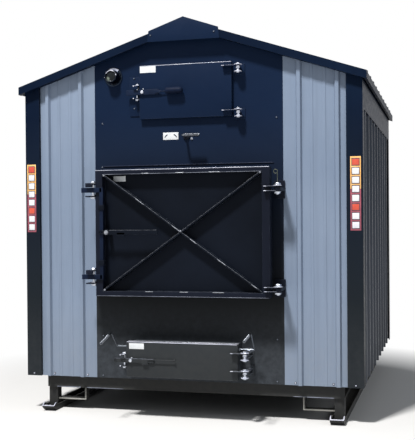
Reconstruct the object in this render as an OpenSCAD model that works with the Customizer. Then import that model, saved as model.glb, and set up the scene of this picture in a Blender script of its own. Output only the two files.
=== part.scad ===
// Outdoor wood boiler: a water-jacketed firebox in a gabled, ribbed-metal housing on skids.
// Origin: middle of the bounding box on the ground. +Z up, the doors face -Y, +X to the right.
// Inside the modules y is counted from the face of the front panel, forward is negative.

/* [Housing] */
// Width over the corner posts
house_w = 2160; // [2120:5:2220]
// Depth from the front panel to the rear wall
house_d = 2286; // [2250:2:2400]
// Height of the housing floor above the ground
floor_z = 221; // [215:1:240]
// Half width of the smooth centre panel
panel_half = 605; // [598:1:640]
// Width of a corner post's face
post_w = 97; // [70:1:120]
// Height of the siding ribs
rib_h = 19; // [8:1:24]
// Distance from one siding rib to the next
rib_pitch = 228.6; // [210:0.1:250]
// Thickness of the sheet metal
sheet = 3; // [2:0.5:4]
// Width of the square tubes of the wall frame
stud = 40; // [30:1:50]

/* [Roof] */
// Top of the roof sheet at the ridge
roof_top = 2440; // [2420:1:2520]
// Fall of the roof for each unit of width
roof_pitch = 0.33; // [0.3:0.01:0.34]
// Overhang of the eaves past the corner posts
eave_over = 28; // [20:1:60]
// Overhang past the front panel
roof_front = 60; // [45:1:90]
// Overhang past the rear wall
roof_rear = 72; // [45:1:120]
// Height of the edge trims
trim_h = 46; // [30:1:60]
// Height of the frieze band under the eaves
frieze_h = 210; // [100:1:260]
// Half width of the ridge cap
ridge_half = 160; // [100:1:220]

/* [Base] */
// Height of the base channels
rail_h = 76; // [60:1:90]
// Width of a channel flange
flange_w = 40; // [30:1:50]
// Inner face of a side rail from the middle
rail_x = 898; // [880:1:910]
// Side of a square leg
leg_w = 59; // [45:1:60]
// Height of a runner's upturned edges
runner_h = 38; // [20:1:60]
// Radius of the upturned nose of a runner
nose_r = 66; // [40:1:100]
// Reach of the noses in front of the front panel
nose_reach = 55; // [30:1:80]
// Clear width of a fork pocket
fork_w = 168; // [100:1:180]
// Clear height of a fork pocket
fork_h = 74; // [45:1:85]

/* [Boiler] */
// Half width of the water jacket
jacket_half = 640; // [620:1:700]
// Top of the jacket's straight sides
jacket_side_z = 2060; // [2000:1:2100]
// Top of the water jacket
jacket_z = 2215; // [2205:1:2240]
// Half width of the jacket's flat top
jacket_top_half = 340; // [320:1:380]
// Front face of the jacket
jacket_y0 = 60; // [50:1:80]
// Depth of the service bay behind the jacket
bay_d = 286; // [250:2:340]
// Plate thickness of jacket and firebox
plate = 8; // [6:1:12]
// Half width of the firebox
firebox_half = 520; // [515:1:560]
// Floor of the ash pit
pit_z = 300; // [294:1:304]
// Top of the firebox
firebox_z = 1660; // [1640:1:1680]
// Depth of the water space behind the firebox
back_water = 350; // [340:1:500]
// Height of the grate's underside
grate_z = 520; // [500:1:560]
// Thickness of the firebrick
brick = 32; // [25:1:40]
// Thickness of the insulation round the jacket
foam = 45; // [30:1:60]
// Outer radius of a flue tube
tube_r = 38; // [30:0.5:40]
// Radius of the opening in the flue collar
flue_r = 127; // [100:1:130]
// Height of the flue collar above the ridge
flue_rise = 180; // [120:1:240]

/* [Fire door] */
// Half width of the fire door
fire_half = 548; // [544:1:560]
// Lower edge of the fire door
fire_z0 = 752; // [745:1:760]
// Upper edge of the fire door
fire_z1 = 1531; // [1520:1:1540]
// Distance of its front face from the front panel
fire_t = 150; // [145:1:165]
// Depth of its rim
rim_d = 75; // [70:1:80]
// Width of its side rims
rim_w = 46; // [42:0.5:60]
// Height of its top and bottom rims
rim_top = 27; // [25:1:40]
// Depth of the recess in front of its plate
recess_d = 52; // [45:1:60]
// Half width of the neck behind the door
neck_half = 510; // [500:1:515]
// Distance of the hinge pin from the middle
fire_pin_x = 597; // [590:1:610]
// Radius of the fire door's hinge pins
fire_pin_r = 9; // [6:0.5:12]

/* [Fire door lock] */
// Middle of the lock bar from the middle of the door
bar_x = -504.5; // [-506:0.5:-502]
// Width of the lock bar
bar_w = 23; // [18:1:24]
// Thickness of lock bar and lever
bar_d = 14; // [10:1:15]
// Pivot of the lock lever across the door
lever_x = -468; // [-472:1:-464]
// Pivot height of the lock lever
lever_z = 1146; // [1100:1:1190]
// Height of the lock lever's bar
lever_h = 28; // [24:1:34]
// Right end of the lock lever
lever_end_x = -141; // [-240:1:-100]
// Swing of the lock lever
lever_swing = 25; // [15:1:27]
// Height of a locking tongue
tongue_h = 30; // [20:1:34]

/* [Clean-out door] */
// Half width of the clean-out door
clean_half = 295; // [290:1:300]
// Lower edge of the clean-out door
clean_z0 = 1849; // [1844:1:1854]
// Upper edge of the clean-out door
clean_z1 = 2181; // [2176:1:2186]
// Distance of its face from the front panel
clean_t = 28; // [24:1:34]

/* [Ash door] */
// Half width of the ash door
ash_half = 349.5; // [346:0.5:352]
// Lower edge of the ash door
ash_z0 = 259; // [254:1:261]
// Upper edge of the ash door
ash_z1 = 476; // [474:1:480]
// Distance of its face from the front panel
ash_t = 155; // [150:1:165]
// Depth of the ash door's pan
ash_d = 43; // [35:1:50]
// Distance of the draft shaft from the front panel
shaft_t = 82; // [76:1:88]
// Height of the draft shaft
shaft_z = 438; // [434:1:445]
// Radius of the draft shaft
shaft_r = 6; // [5:0.5:9]

/* [Draft cranks and damper] */
// Reach of the crank handles in front of the front panel
crank_reach = 362; // [330:1:400]
// Distance of the cranks from the middle
crank_x = 436; // [434:1:460]
// Radius of the crank rods
crank_r = 5; // [4.5:0.5:7]
// Wire radius of the spring grips
wire_r = 1.7; // [1.2:0.1:1.8]
// Advance of a spring grip in one curl
wire_pitch = 4.4; // [4.2:0.1:6]
// Length of the spring grips on the cranks
grip_l = 132; // [80:1:140]
// Height of the damper shaft
damper_z = 1736; // [1725:1:1745]
// Radius of the damper shaft
damper_r = 8; // [6:0.5:9]
// Distance of the damper handle from the front panel
damper_t = 90; // [70:1:110]
// Length of the damper handle's grip
damper_grip_l = 108; // [80:1:120]

/* [Lamp] */
// Lamp's distance from the middle
lamp_x = -476; // [-500:1:-470]
// Lamp's height
lamp_z = 2124; // [2100:1:2130]
// Radius of the lamp's foot
lamp_r = 59; // [52:1:64]
// Reach of the lamp's body
lamp_l = 60; // [50:1:90]

/* [Hidden] */
$fn = 48;
fit = 0.3;
slide_fit = 0.5;
bore_fit = 0.08;
front_reach = crank_reach + crank_r;
rear_reach = house_d + roof_rear;
y_shift = (front_reach - rear_reach) / 2;
wall_x = house_w / 2;
eave_half = wall_x + eave_over;
flue_top = roof_top + flue_rise;
jacket_y1 = house_d - bay_d;
firebox_y1 = jacket_y1 - back_water;
post_face = rib_h + 1;
side_face = wall_x - post_face;
rail_z = floor_z - rail_h;
base_y = 30;
leg_y = 43;
strap_t = 12;
nose_turn = 62;
wall_in = sheet + fit;
floor_top = floor_z + sheet;
recess_half = fire_half - rim_w;
jacket_z0 = floor_top + 20;
throat_half = 100;
throat_y = [160, 440];
chamber_y1 = 460;
smoke_y0 = jacket_y1 - 300;
chamber_half = clean_half - 17;
chamber_z = [clean_z0 + 23, clean_z1 - 23];
neck_z = [fire_z0 + 28, fire_z1 - 28];
ash_frame_half = ash_half - 11.5;
ash_frame_z = [ash_z0 + 5, ash_z1 - 6];
tube_gap = 95;
flue_y = jacket_y1 - 150;
flue_wall = 6;
vent_x = -200;
vent_y = jacket_y1 - 500;
grate_y = [400, firebox_y1 - 350];
vent_r = 27;
duct_x = -250;
duct_z = 400;
duct_r = 40;
blower_y = jacket_y1 + 60;
lever_arm = lever_x - bar_x - 1.5;
lock_lift = lever_arm * 1.048 * lever_swing * PI / 180;
keeper_x = -565;
keeper_r = 8;
lug = 8;
tongue_z = [1393, 856];
guide_z = [1300, 960];
latch_rise = 20;
lip_gap = 2;
clean_pin = [340, 45];
ash_pin = [397, 170];
small_pin_r = 6;
rear_door_half = 415;
rear_door_z = [340, 1750];
rear_hinge_z = [rear_door_z[0] + 220, rear_door_z[1] - 270];
DARK = "#1d2a42";
STEEL = "#9aa0a6";
ZINC = "#c9ccd0";
GREY = "#8c9bb4";

function roof_at(x) = roof_top - abs(x) * roof_pitch;
function under_roof(x) = roof_at(x) - sheet - fit;

module at_row() translate([0, y_shift, 0]) children();
module slab(x, y, z) translate([x[0], y[0], z[0]]) cube([x[1] - x[0], y[1] - y[0], z[1] - z[0]]);
module rod_x(r, x, y, z) translate([x[0], y, z]) rotate([0, 90, 0]) cylinder(r = r, h = x[1] - x[0]);
module rod_y(r, x, y, z) translate([x, y[0], z]) rotate([-90, 0, 0]) cylinder(r = r, h = y[1] - y[0]);
module rod_z(r, x, y, z) translate([x, y, z[0]]) cylinder(r = r, h = z[1] - z[0]);
module hex_z(r, x, y, z) rod_z(r, x, y, z, $fn = 6);
module both_sides() {
  children();
  mirror([1, 0, 0]) children();
}
module front_and_rear() {
  children();
  translate([0, house_d, 0]) mirror([0, 1, 0]) children();
}
// An outline in x and z, drawn from y[0] to y[1]
module prism_y(points, y) {
  translate([0, y[1], 0]) rotate([90, 0, 0]) linear_extrude(height = y[1] - y[0]) polygon(points);
}
// An open-ended box with walls of one thickness, running along y
module sleeve(half, y, z, wall) {
  difference() {
    slab([-half, half], y, z);
    slab([-half + wall, half - wall], [y[0] - 1, y[1] + 1], [z[0] + wall, z[1] - wall]);
  }
}
// A band that follows both slopes of the roof
module chevron(half, y, top, bottom) {
  prism_y([[-half, roof_at(half) + top], [0, roof_top + top], [half, roof_at(half) + top],
    [half, roof_at(half) + bottom], [0, roof_top + bottom], [-half, roof_at(half) + bottom]], y);
}
// Everything below the roof between two widths
module below_roof(x, y) {
  prism_y([[x[0], floor_z], [x[1], floor_z], [x[1], under_roof(x[1])], [x[0], under_roof(x[0])]], y);
}

// ---- Ribbed sheet ----
// Points of one rib: place, foot width, crown width and height
function rib_points(r, lift) = [[r[0] - r[1] / 2, lift], [r[0] - r[2] / 2, lift + r[3]],
  [r[0] + r[2] / 2, lift + r[3]], [r[0] + r[1] / 2, lift]];
function sheet_path(a, b, ribs, lift) = concat([[a, lift]],
  [for (r = ribs) each rib_points(r, lift)], [[b, lift]]);
function backwards(list) = [for (i = [len(list) - 1:-1:0]) list[i]];
function ribbed(a, b, ribs) = concat(sheet_path(a, b, ribs, 0), backwards(sheet_path(a, b, ribs, -sheet)));
// A major rib, then two faint ones, from the first place on
function rib_row(first, last) = [for (p = [first:rib_pitch:last]) each [[p, 38, 20, rib_h],
  if (p + rib_pitch / 3 < last + 20) [p + rib_pitch / 3, 22, 12, 3],
  if (p + rib_pitch * 2 / 3 < last + 20) [p + rib_pitch * 2 / 3, 22, 12, 3]]];

// ---- Base ----
module base_frame() color(DARK) at_row() {
  cross_half = rail_x + 62;
  rail_y = base_y + flange_w;
  front_and_rear() {
    slab([-cross_half, cross_half], [base_y, base_y + 6], [rail_z, floor_z]);
    slab([-cross_half, cross_half], [base_y, rail_y], [rail_z, rail_z + 6]);
    slab([-cross_half, cross_half], [base_y, rail_y], [floor_z - 6, floor_z]);
  }
  both_sides() {
    slab([rail_x, rail_x + 6], [rail_y, house_d - rail_y], [rail_z, floor_z]);
    slab([rail_x, rail_x + leg_w], [rail_y, house_d - rail_y], [rail_z, rail_z + 6]);
    slab([rail_x, rail_x + leg_w], [rail_y, house_d - rail_y], [floor_z - 6, floor_z]);
  }
  for (i = [1:3]) {
    y = house_d * i / 4;
    slab([-rail_x, rail_x], [y - 30, y + 30], [rail_z + 16, floor_z]);
  }
  floor_half = side_face - sheet - fit;
  slab([-floor_half, floor_half], [wall_in, house_d - wall_in], [floor_z, floor_top]);
}
// The upturned end of a runner, from its outer radius in to another
module nose(x, y, inner) translate([x[0], y, nose_r]) rotate([90, 0, 90]) linear_extrude(height = x[1] - x[0])
  intersection() {
    difference() {
      circle(r = nose_r);
      circle(r = inner);
    }
    polygon([[0, 0], [0, -nose_r * 2], [-nose_r * 2, -nose_r * 2 / tan(nose_turn)]]);
  }
module skid() {
  runner_x = [rail_x - 18, rail_x + leg_w + 8];
  runner_y = [nose_r * sin(nose_turn) - nose_reach, house_d - 40];
  slab(runner_x, runner_y, [0, 6]);
  nose(runner_x, runner_y[0], nose_r - 6);
  for (x = [runner_x[0], runner_x[1] - 6]) {
    slab([x, x + 6], runner_y, [0, runner_h]);
    nose([x, x + 6], runner_y[0], nose_r - runner_h);
  }
  for (y = [leg_y, house_d / 2 - leg_w / 2, house_d - leg_y - leg_w]) difference() {
    slab([rail_x, rail_x + leg_w], [y, y + leg_w], [6, rail_z]);
    slab([rail_x + 5, rail_x + leg_w - 5], [y + 5, y + leg_w - 5], [5, rail_z + 1]);
  }
  fork_straps();
}
module fork_straps() front_and_rear() {
  inner = rail_x - fork_w - strap_t - 12;
  low = rail_z - fork_h - strap_t;
  bend = strap_t + 10;
  slab([inner, inner + strap_t], [leg_y + 17, leg_y + 67], [low + bend, rail_z]);
  slab([inner + bend, rail_x], [leg_y + 17, leg_y + 67], [low, low + strap_t]);
  translate([inner + bend, leg_y + 67, low + bend]) rotate([90, 0, 0]) linear_extrude(height = 50)
    intersection() {
      difference() {
        circle(r = bend);
        circle(r = bend - strap_t);
      }
      translate([-bend, -bend]) square(bend);
    }
}
module skid_left() color(DARK) at_row() mirror([1, 0, 0]) skid();
module skid_right() color(DARK) at_row() skid();

// ---- Housing ----
module corner_posts() color(DARK) at_row() both_sides() front_and_rear() difference() {
  post_in = wall_x - post_w;
  below_roof([post_in, wall_x], [-post_face, post_w - post_face]);
  slab([post_in + sheet, wall_x - sheet], [-post_face + sheet, post_w], [0, roof_top]);
  slab([0, side_face + fit], [-fit, post_w], [0, roof_top]);
}
module front_panel() color(DARK) at_row() difference() {
  prism_y([[-panel_half, floor_z], [panel_half, floor_z], [panel_half, under_roof(panel_half)],
    [0, under_roof(0)], [-panel_half, under_roof(panel_half)]], [0, sheet]);
  slab([-neck_half - slide_fit, neck_half + slide_fit], [-1, sheet + 1],
    [neck_z[0] - slide_fit, neck_z[1] + slide_fit]);
  slab([-chamber_half - slide_fit, chamber_half + slide_fit], [-1, sheet + 1],
    [chamber_z[0] - slide_fit, chamber_z[1] + slide_fit]);
  slab([-ash_frame_half - slide_fit, ash_frame_half + slide_fit], [-1, sheet + 1],
    [ash_frame_z[0] - slide_fit, ash_frame_z[1] + slide_fit]);
  rod_y(damper_r + 8 + slide_fit, 0, [-1, sheet + 1], damper_z);
}
module front_siding() {
  x = [panel_half + fit, wall_x - post_w - fit];
  ribs = rib_row(panel_half + rib_pitch * 0.42, x[1] - 22);
  intersection() {
    translate([0, 0, floor_z]) linear_extrude(height = roof_top)
      mirror([0, 1]) polygon(ribbed(x[0], x[1], ribs));
    below_roof(x, [-rib_h - 1, sheet + 1]);
  }
}
module front_siding_left() color(GREY) at_row() mirror([1, 0, 0]) front_siding();
module front_siding_right() color(GREY) at_row() front_siding();
module side_siding() {
  y = [post_w - post_face + fit, house_d - post_w + post_face - fit];
  ribs = rib_row(y[0] + rib_pitch / 2, y[1] - 30);
  translate([side_face, 0, floor_z]) linear_extrude(height = under_roof(wall_x) - frieze_h - floor_z - fit)
    rotate(90) mirror([0, 1]) polygon(ribbed(y[0], y[1], ribs));
}
module side_siding_left() color("#5c6370") at_row() mirror([1, 0, 0]) side_siding();
module side_siding_right() color("#5c6370") at_row() side_siding();
module rear_siding() color("#5c6370") at_row() difference() {
  x1 = wall_x - post_w - fit;
  ribs = rib_row(-x1 + rib_pitch / 2, x1 - 22);
  intersection() {
    translate([0, house_d, floor_z]) linear_extrude(height = roof_top) polygon(ribbed(-x1, x1, ribs));
    union() {
      below_roof([0, x1], [house_d - sheet - 1, house_d + rib_h + 1]);
      mirror([1, 0, 0]) below_roof([0, x1], [house_d - sheet - 1, house_d + rib_h + 1]);
    }
  }
  slab([-rear_door_half - 14, rear_door_half + 14], [house_d - 10, house_d + rib_h + 1],
    [rear_door_z[0] - 14, rear_door_z[1] + 14]);
  for (z = rear_hinge_z)
    slab([rear_door_half + 20, rear_door_half + 68], [house_d + fit / 2, house_d + rib_h + 1], [z - 50, z + 28]);
  for (p = port_places) rod_y(port_r + 9 + slide_fit, p[0], [house_d - 10, house_d + rib_h + 1], p[1]);
}
module wall_frame() color(STEEL) at_row() {
  out = side_face - sheet - fit;
  y = [wall_in, house_d - wall_in];
  bottom = [floor_top + fit, floor_top + stud];
  rafters = [y[0], 500, 1000, flue_y - 210, y[1] - stud];
  for (x = [-out, out - stud]) slab([x, x + stud], y, bottom);
  for (w = [y[0], y[1] - stud]) slab([-out, -jacket_half - foam - 20], [w, w + stud], bottom);
  for (w = [y[0], y[1] - stud]) slab([jacket_half + foam + 20, out], [w, w + stud], bottom);
  for (w = rafters) {
    chevron(out, [w, w + stud], -sheet - fit, -sheet - fit - stud);
    both_sides() slab([out - stud, out], [w, w + stud], [bottom[0], roof_at(out) - sheet - fit - 1]);
  }
  both_sides() for (w = [y[0], y[1] - stud])
    slab([jacket_half + foam + 20, jacket_half + foam + 20 + stud], [w, w + stud],
      [bottom[0], roof_at(jacket_half + foam + 60) - sheet - fit - 1]);
  both_sides() slab([out - stud, out], y, [under_roof(out) - stud - 8, under_roof(out) - 1]);
}

// ---- Roof ----
module roof_panel(vent) {
  slope = atan(roof_pitch);
  y0 = -roof_front + sheet + fit;
  y1 = house_d + roof_rear - sheet - fit;
  ribs = rib_row(y0 + rib_pitch / 2, y1 - 30);
  difference() {
    intersection() {
      translate([0, 0, roof_top]) rotate([0, slope, 0]) rotate([90, 0, 90])
        linear_extrude(height = eave_half * 1.1) polygon(ribbed(y0, y1, ribs));
      slab([fit, eave_half - sheet - fit], [y0, y1], [0, roof_top + 50]);
    }
    rod_z(flue_r + flue_wall + 3, 0, flue_y, [0, roof_top + 100]);
    if (vent) rod_z(vent_r + 3, -vent_x, vent_y, [0, roof_top + 100]);
  }
}
module roof_panel_left() color("#5c6370") at_row() mirror([1, 0, 0]) roof_panel(true);
module roof_panel_right() color("#5c6370") at_row() roof_panel(false);
module ridge_cap() color(DARK) at_row() difference() {
  over = rib_h / cos(atan(roof_pitch)) + fit;
  chevron(ridge_half, [-roof_front, house_d + roof_rear], over + sheet, over);
  rod_z(flue_r + flue_wall + 3, 0, flue_y, [0, roof_top + 100]);
}
module rake_trim() {
  face = trim_h - 7;
  chevron(eave_half, [-roof_front, -roof_front + sheet], 7, -face);
  chevron(eave_half, [-roof_front, -roof_front + 40], -face, -face - sheet);
}
module rake_trims() color(DARK) at_row() {
  rake_trim();
  translate([0, house_d + roof_rear - roof_front, 0]) mirror([0, 1, 0]) rake_trim();
}
// The roof's side edges, and the frieze bands on the walls under them
module eave_trims() color(DARK) at_row() both_sides() {
  y = [-roof_front + sheet + fit, house_d + roof_rear - sheet - fit];
  top = roof_at(eave_half);
  frieze_top = under_roof(wall_x) - fit;
  frieze_y = [post_w - post_face + fit, house_d - post_w + post_face - fit];
  slab([wall_x - sheet, wall_x], frieze_y, [frieze_top - frieze_h, frieze_top]);
  slab([side_face - sheet, wall_x], frieze_y, [frieze_top - frieze_h, frieze_top - frieze_h + sheet]);
  slab([eave_half - sheet, eave_half], y, [top - trim_h + 10, top + 4]);
  slab([eave_half - 16, eave_half], [-roof_front + 41, house_d + roof_rear - 41], [top - trim_h + 7, top - trim_h + 10]);
}
// A bare five-sided plate on the gable and a small bare plate beside the damper
module plates() color("#c9cdd2") at_row() {
  prism_y([[-230, roof_top - 120], [230, roof_top - 120], [222, roof_top - 52], [0, roof_top + 25],
    [-222, roof_top - 52]], [-roof_front - fit - sheet, -roof_front - fit]);
  slab([-152, -50], [-1 - fit, -fit], [damper_z - 22, damper_z + 31]);
}

// ---- Boiler vessel ----
function vessel(inset) = [[-jacket_half + inset, jacket_z0 + inset], [jacket_half - inset, jacket_z0 + inset],
  [jacket_half - inset, jacket_side_z - inset * 0.6], [jacket_top_half - inset * 0.4, jacket_z - inset],
  [-jacket_top_half + inset * 0.4, jacket_z - inset], [-jacket_half + inset, jacket_side_z - inset * 0.6]];
module insulation() color("#d9c27a") at_row() difference() {
  prism_y(vessel(-foam), [jacket_y0, jacket_y1]);
  prism_y(vessel(-fit), [jacket_y0 - 1, jacket_y1 + 1]);
  slab([-wall_x, wall_x], [0, house_d], [0, floor_top + fit]);
  slab([-jacket_half - fit, jacket_half + fit], [0, house_d], [0, jacket_z0]);
  rod_z(flue_r + flue_wall + 2, 0, flue_y, [1500, roof_top]);
  rod_z(vent_r + 2, vent_x, vent_y, [1500, roof_top]);
}
module water_jacket() color("#4a4f55") at_row() {
  difference() {
    prism_y(vessel(0), [jacket_y0, jacket_y1]);
    prism_y(vessel(plate), [jacket_y0 + plate, jacket_y1 - plate]);
    slab([-neck_half - slide_fit, neck_half + slide_fit], [jacket_y0 - 1, jacket_y0 + plate + 1],
      [neck_z[0] - slide_fit, neck_z[1] + slide_fit]);
    slab([-chamber_half - slide_fit, chamber_half + slide_fit], [jacket_y0 - 1, jacket_y0 + plate + 1],
      [chamber_z[0] - slide_fit, chamber_z[1] + slide_fit]);
    slab([-ash_frame_half - slide_fit, ash_frame_half + slide_fit], [jacket_y0 - 1, jacket_y0 + plate + 1],
      [ash_frame_z[0] - slide_fit, ash_frame_z[1] + slide_fit]);
    rod_y(damper_r + 2, 0, [jacket_y0 - 1, jacket_y0 + plate + 1], damper_z);
    rod_y(duct_r + slide_fit, duct_x, [jacket_y1 - plate - 1, jacket_y1 + 1], duct_z);
    rod_z(flue_r + flue_wall + slide_fit, 0, flue_y, [jacket_z - 50, jacket_z + 1]);
    rod_z(vent_r - 5, vent_x, vent_y, [jacket_z - 50, jacket_z + 1]);
  }
  both_sides() slab([jacket_half - 80, jacket_half - 20], [jacket_y0 + 60, jacket_y1 - 60], [floor_top + fit, jacket_z0]);
  difference() {
    rod_y(damper_r + 8, 0, [jacket_y0 + plate, throat_y[0] - 8 - fit], damper_z);
    rod_y(damper_r + 2, 0, [jacket_y0, throat_y[0]], damper_z);
  }
}
module firebox() color("#3c3a38") at_row() {
  y = [jacket_y0 + plate + fit, firebox_y1];
  in = firebox_half - plate;
  difference() {
    slab([-firebox_half, firebox_half], y, [pit_z, firebox_z]);
    slab([-in, in], [y[0] + plate, y[1] - plate], [pit_z + plate, firebox_z - plate]);
    slab([-neck_half + 10, neck_half - 10], [0, y[0] + plate + 1], [neck_z[0] + 10, neck_z[1] - 10]);
    slab([-ash_frame_half + 16, ash_frame_half - 16], [0, y[0] + plate + 1], [pit_z + plate, ash_frame_z[1] - 16]);
    slab([-throat_half, throat_half], throat_y, [firebox_z - plate - 1, firebox_z + 1]);
    rod_y(duct_r - 4, duct_x, [y[1] - plate - 1, y[1] + 1], duct_z);
  }
  both_sides() {
    slab([in - 72, in], [y[0] + plate, y[1] - plate], [grate_z - 20, grate_z]);
    slab([in - 80, in - 20], [y[0] + 40, y[1] - 40], [jacket_z0 + plate + fit, pit_z]);
  }
  difference() {
    rod_y(duct_r, duct_x, [firebox_y1, blower_y - fit], duct_z);
    rod_y(duct_r - 4, duct_x, [firebox_y1 - 1, blower_y], duct_z);
  }
}
module firebrick() color("#c9a36b") at_row() {
  in = firebox_half - plate - fit;
  y = [jacket_y0 + plate * 2 + fit * 2, firebox_y1 - plate - fit];
  z = [grate_z + fit, 900];
  course = 114;
  difference() {
    union() {
      both_sides() slab([in - brick, in], y, z);
      slab([-in, in], [y[1] - brick, y[1]], z);
      slab([-in, in], [y[0], grate_y[0]], [z[0], z[0] + brick]);
      slab([-in, in], [grate_y[1], y[1]], [z[0], z[0] + brick]);
    }
    for (k = [1:3]) {
      cut = z[0] + brick + course * k;
      both_sides() slab([in - brick - 1, in - brick + 3], y, [cut - 1.5, cut + 1.5]);
      slab([-in, in], [y[1] - brick - 1, y[1] - brick + 3], [cut - 1.5, cut + 1.5]);
    }
  }
}
// Loose cast bars that lie across the firebox on its two ledges
module grate() color("#2a2826") at_row() {
  half = firebox_half - plate - brick - 10;
  bar = 28;
  last = 18;
  step = (grate_y[1] - grate_y[0] - fit * 2 - bar) / last;
  for (k = [0:last]) {
    y = grate_y[0] + fit + k * step;
    slab([-half, half], [y, y + bar], [grate_z + fit, grate_z + 30]);
  }
}
module ash_pan() color("#55585c") at_row() {
  z0 = pit_z + plate + fit;
  y1 = firebox_y1 - 150;
  difference() {
    slab([-300, 300], [90, y1], [z0, z0 + 110]);
    slab([-300 + sheet, 300 - sheet], [90 + sheet, y1 - sheet], [z0 + sheet, z0 + 111]);
  }
  difference() {
    slab([-70, 70], [60, 90], [z0 + 60, z0 + 72]);
    slab([-58, 58], [72, 91], [z0 + 59, z0 + 73]);
  }
}
module fire_neck() color(DARK) at_row()
  sleeve(neck_half, [-fire_t + rim_d + 5, jacket_y0 + plate], neck_z, 10);
module ash_frame() color(DARK) at_row() difference() {
  union() {
    sleeve(ash_frame_half, [-ash_t + ash_d + 12, jacket_y0 + plate], ash_frame_z, plate);
    slab([-ash_frame_half, ash_frame_half], [-shaft_t - 12, -shaft_t - 8], [ash_frame_z[0], ash_frame_z[0] + 34]);
  }
  rod_x(shaft_r + bore_fit, [-wall_x, wall_x], -shaft_t, shaft_z);
}
module cleanout_box() color("#3c3a38") at_row() {
  difference() {
    slab([-chamber_half, chamber_half], [0, chamber_y1], chamber_z);
    slab([-chamber_half + plate, chamber_half - plate], [-1, chamber_y1 - plate],
      [chamber_z[0] + plate, chamber_z[1] - plate]);
    tube_holes([chamber_y1 - plate - 1, chamber_y1 + 1]);
    slab([-throat_half, throat_half], throat_y, [chamber_z[0] - 1, chamber_z[0] + plate + 1]);
  }
  difference() {
    slab([-throat_half - plate, throat_half + plate], [throat_y[0] - plate, throat_y[1] + plate],
      [firebox_z + fit, chamber_z[0]]);
    slab([-throat_half, throat_half], throat_y, [firebox_z, chamber_z[0] + 1]);
    rod_y(damper_r + bore_fit, 0, [throat_y[0] - plate - 1, throat_y[1] + plate + 1], damper_z);
  }
}
module tube_places() for (i = [-2:2]) for (j = [-1:1])
  translate([i * tube_gap, 0, (chamber_z[0] + chamber_z[1]) / 2 + j * tube_gap]) children();
module tube_holes(y) tube_places() rod_y(tube_r - 5, 0, y, 0);
module flue_tubes() color("#6b6e72") at_row() tube_places() difference() {
  rod_y(tube_r, 0, [chamber_y1, smoke_y0], 0);
  rod_y(tube_r - 5, 0, [chamber_y1 - 1, smoke_y0 + 1], 0);
}
module smoke_box() color("#3c3a38") at_row() difference() {
  slab([-chamber_half, chamber_half], [smoke_y0, jacket_y1 - plate], chamber_z);
  slab([-chamber_half + plate, chamber_half - plate], [smoke_y0 + plate, jacket_y1 - plate * 2],
    [chamber_z[0] + plate, chamber_z[1] - plate]);
  tube_holes([smoke_y0 - 1, smoke_y0 + plate + 1]);
  rod_z(flue_r, 0, flue_y, [chamber_z[1] - plate - 1, chamber_z[1] + 1]);
}
// The flue collar over the smoke box, and the capped vent pipe of the water jacket
module roof_pipes() color("#7d8288") at_row() {
  difference() {
    union() {
      rod_z(flue_r + flue_wall, 0, flue_y, [chamber_z[1], flue_top]);
      rod_z(flue_r + flue_wall + 3, 0, flue_y, [flue_top - 40, flue_top - 30]);
    }
    rod_z(flue_r, 0, flue_y, [chamber_z[1] - 1, flue_top + 1]);
  }
  difference() {
    union() {
      rod_z(vent_r, vent_x, vent_y, [jacket_z, flue_top - 100]);
      rod_z(vent_r + 14, vent_x, vent_y, [flue_top - 100, flue_top - 90]);
    }
    rod_z(vent_r - 5, vent_x, vent_y, [jacket_z - 1, flue_top - 140]);
    rod_x(6, [vent_x - 40, vent_x + 40], vent_y, flue_top - 150);
  }
}

// ---- Fire door ----
fire_straps = [[1407, 1415], [1380, 1388], [813, 821], [788, 796]];
fire_pin_y = -fire_t - 5;
module fire_strap(z) difference() {
  union() {
    slab([517, fire_pin_x], [-fire_t - 26, -fire_t], z);
    slab([fire_half, fire_pin_x], [-fire_t, -fire_t + 14], z);
    rod_z(21, fire_pin_x, fire_pin_y, z);
  }
  rod_z(fire_pin_r + bore_fit, fire_pin_x, fire_pin_y, [z[0] - 1, z[1] + 1]);
}
module brace(flip) {
  z0 = fire_z0 + rim_top + 5;
  z1 = fire_z1 - rim_top;
  tilt = atan((z1 - z0) / (recess_half * 2));
  translate([0, 0, (z0 + z1) / 2]) rotate([0, flip * tilt, 0])
    slab([-recess_half * 1.4, recess_half * 1.4], [-fire_t + 2, -fire_t + recess_d + 1], [-5, 5]);
}
module fire_door() color(DARK) at_row() {
  front = -fire_t;
  inner = [fire_z0 + rim_top + 5, fire_z1 - rim_top];
  difference() {
    slab([-fire_half, fire_half], [front, front + rim_d], [fire_z0, fire_z1]);
    slab([-recess_half, recess_half], [front - 1, front + rim_d + 1], inner);
  }
  slab([-recess_half, recess_half], [front + recess_d, front + recess_d + 6], inner);
  intersection() {
    union() {
      brace(1);
      brace(-1);
    }
    slab([-recess_half - 1, recess_half + 1], [front, front + recess_d + 1], [inner[0] - 1, inner[1] + 1]);
  }
  rod_y(12, lever_x, [front - bar_d - 1, front + recess_d], lever_z);
  rod_y(keeper_r, lever_x, [front - bar_d - 13, front - bar_d], lever_z);
  rod_y(15, lever_x, [front - bar_d - 20, front - bar_d - 12.5], lever_z);
  for (z = guide_z) bar_guide(z);
  for (z = fire_straps) fire_strap(z);
}
module bar_guide(z) {
  out = bar_w / 2 + slide_fit;
  front = -fire_t - slide_fit - bar_d - slide_fit;
  slab([bar_x - out - 7, bar_x - out], [front, -fire_t], [z - 15, z + 15]);
  slab([bar_x + out, bar_x + out + 7], [front, -fire_t], [z - 15, z + 15]);
  slab([bar_x - out - 7, bar_x + out + 7], [front - 6, front], [z - 15, z + 15]);
}
module fire_door_liner() color("#b9b4a8") at_row()
  slab([-neck_half + 40, neck_half - 40], [-fire_t + recess_d + 6 + fit, -10], [neck_z[0] + 35, neck_z[1] - 35]);
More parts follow.
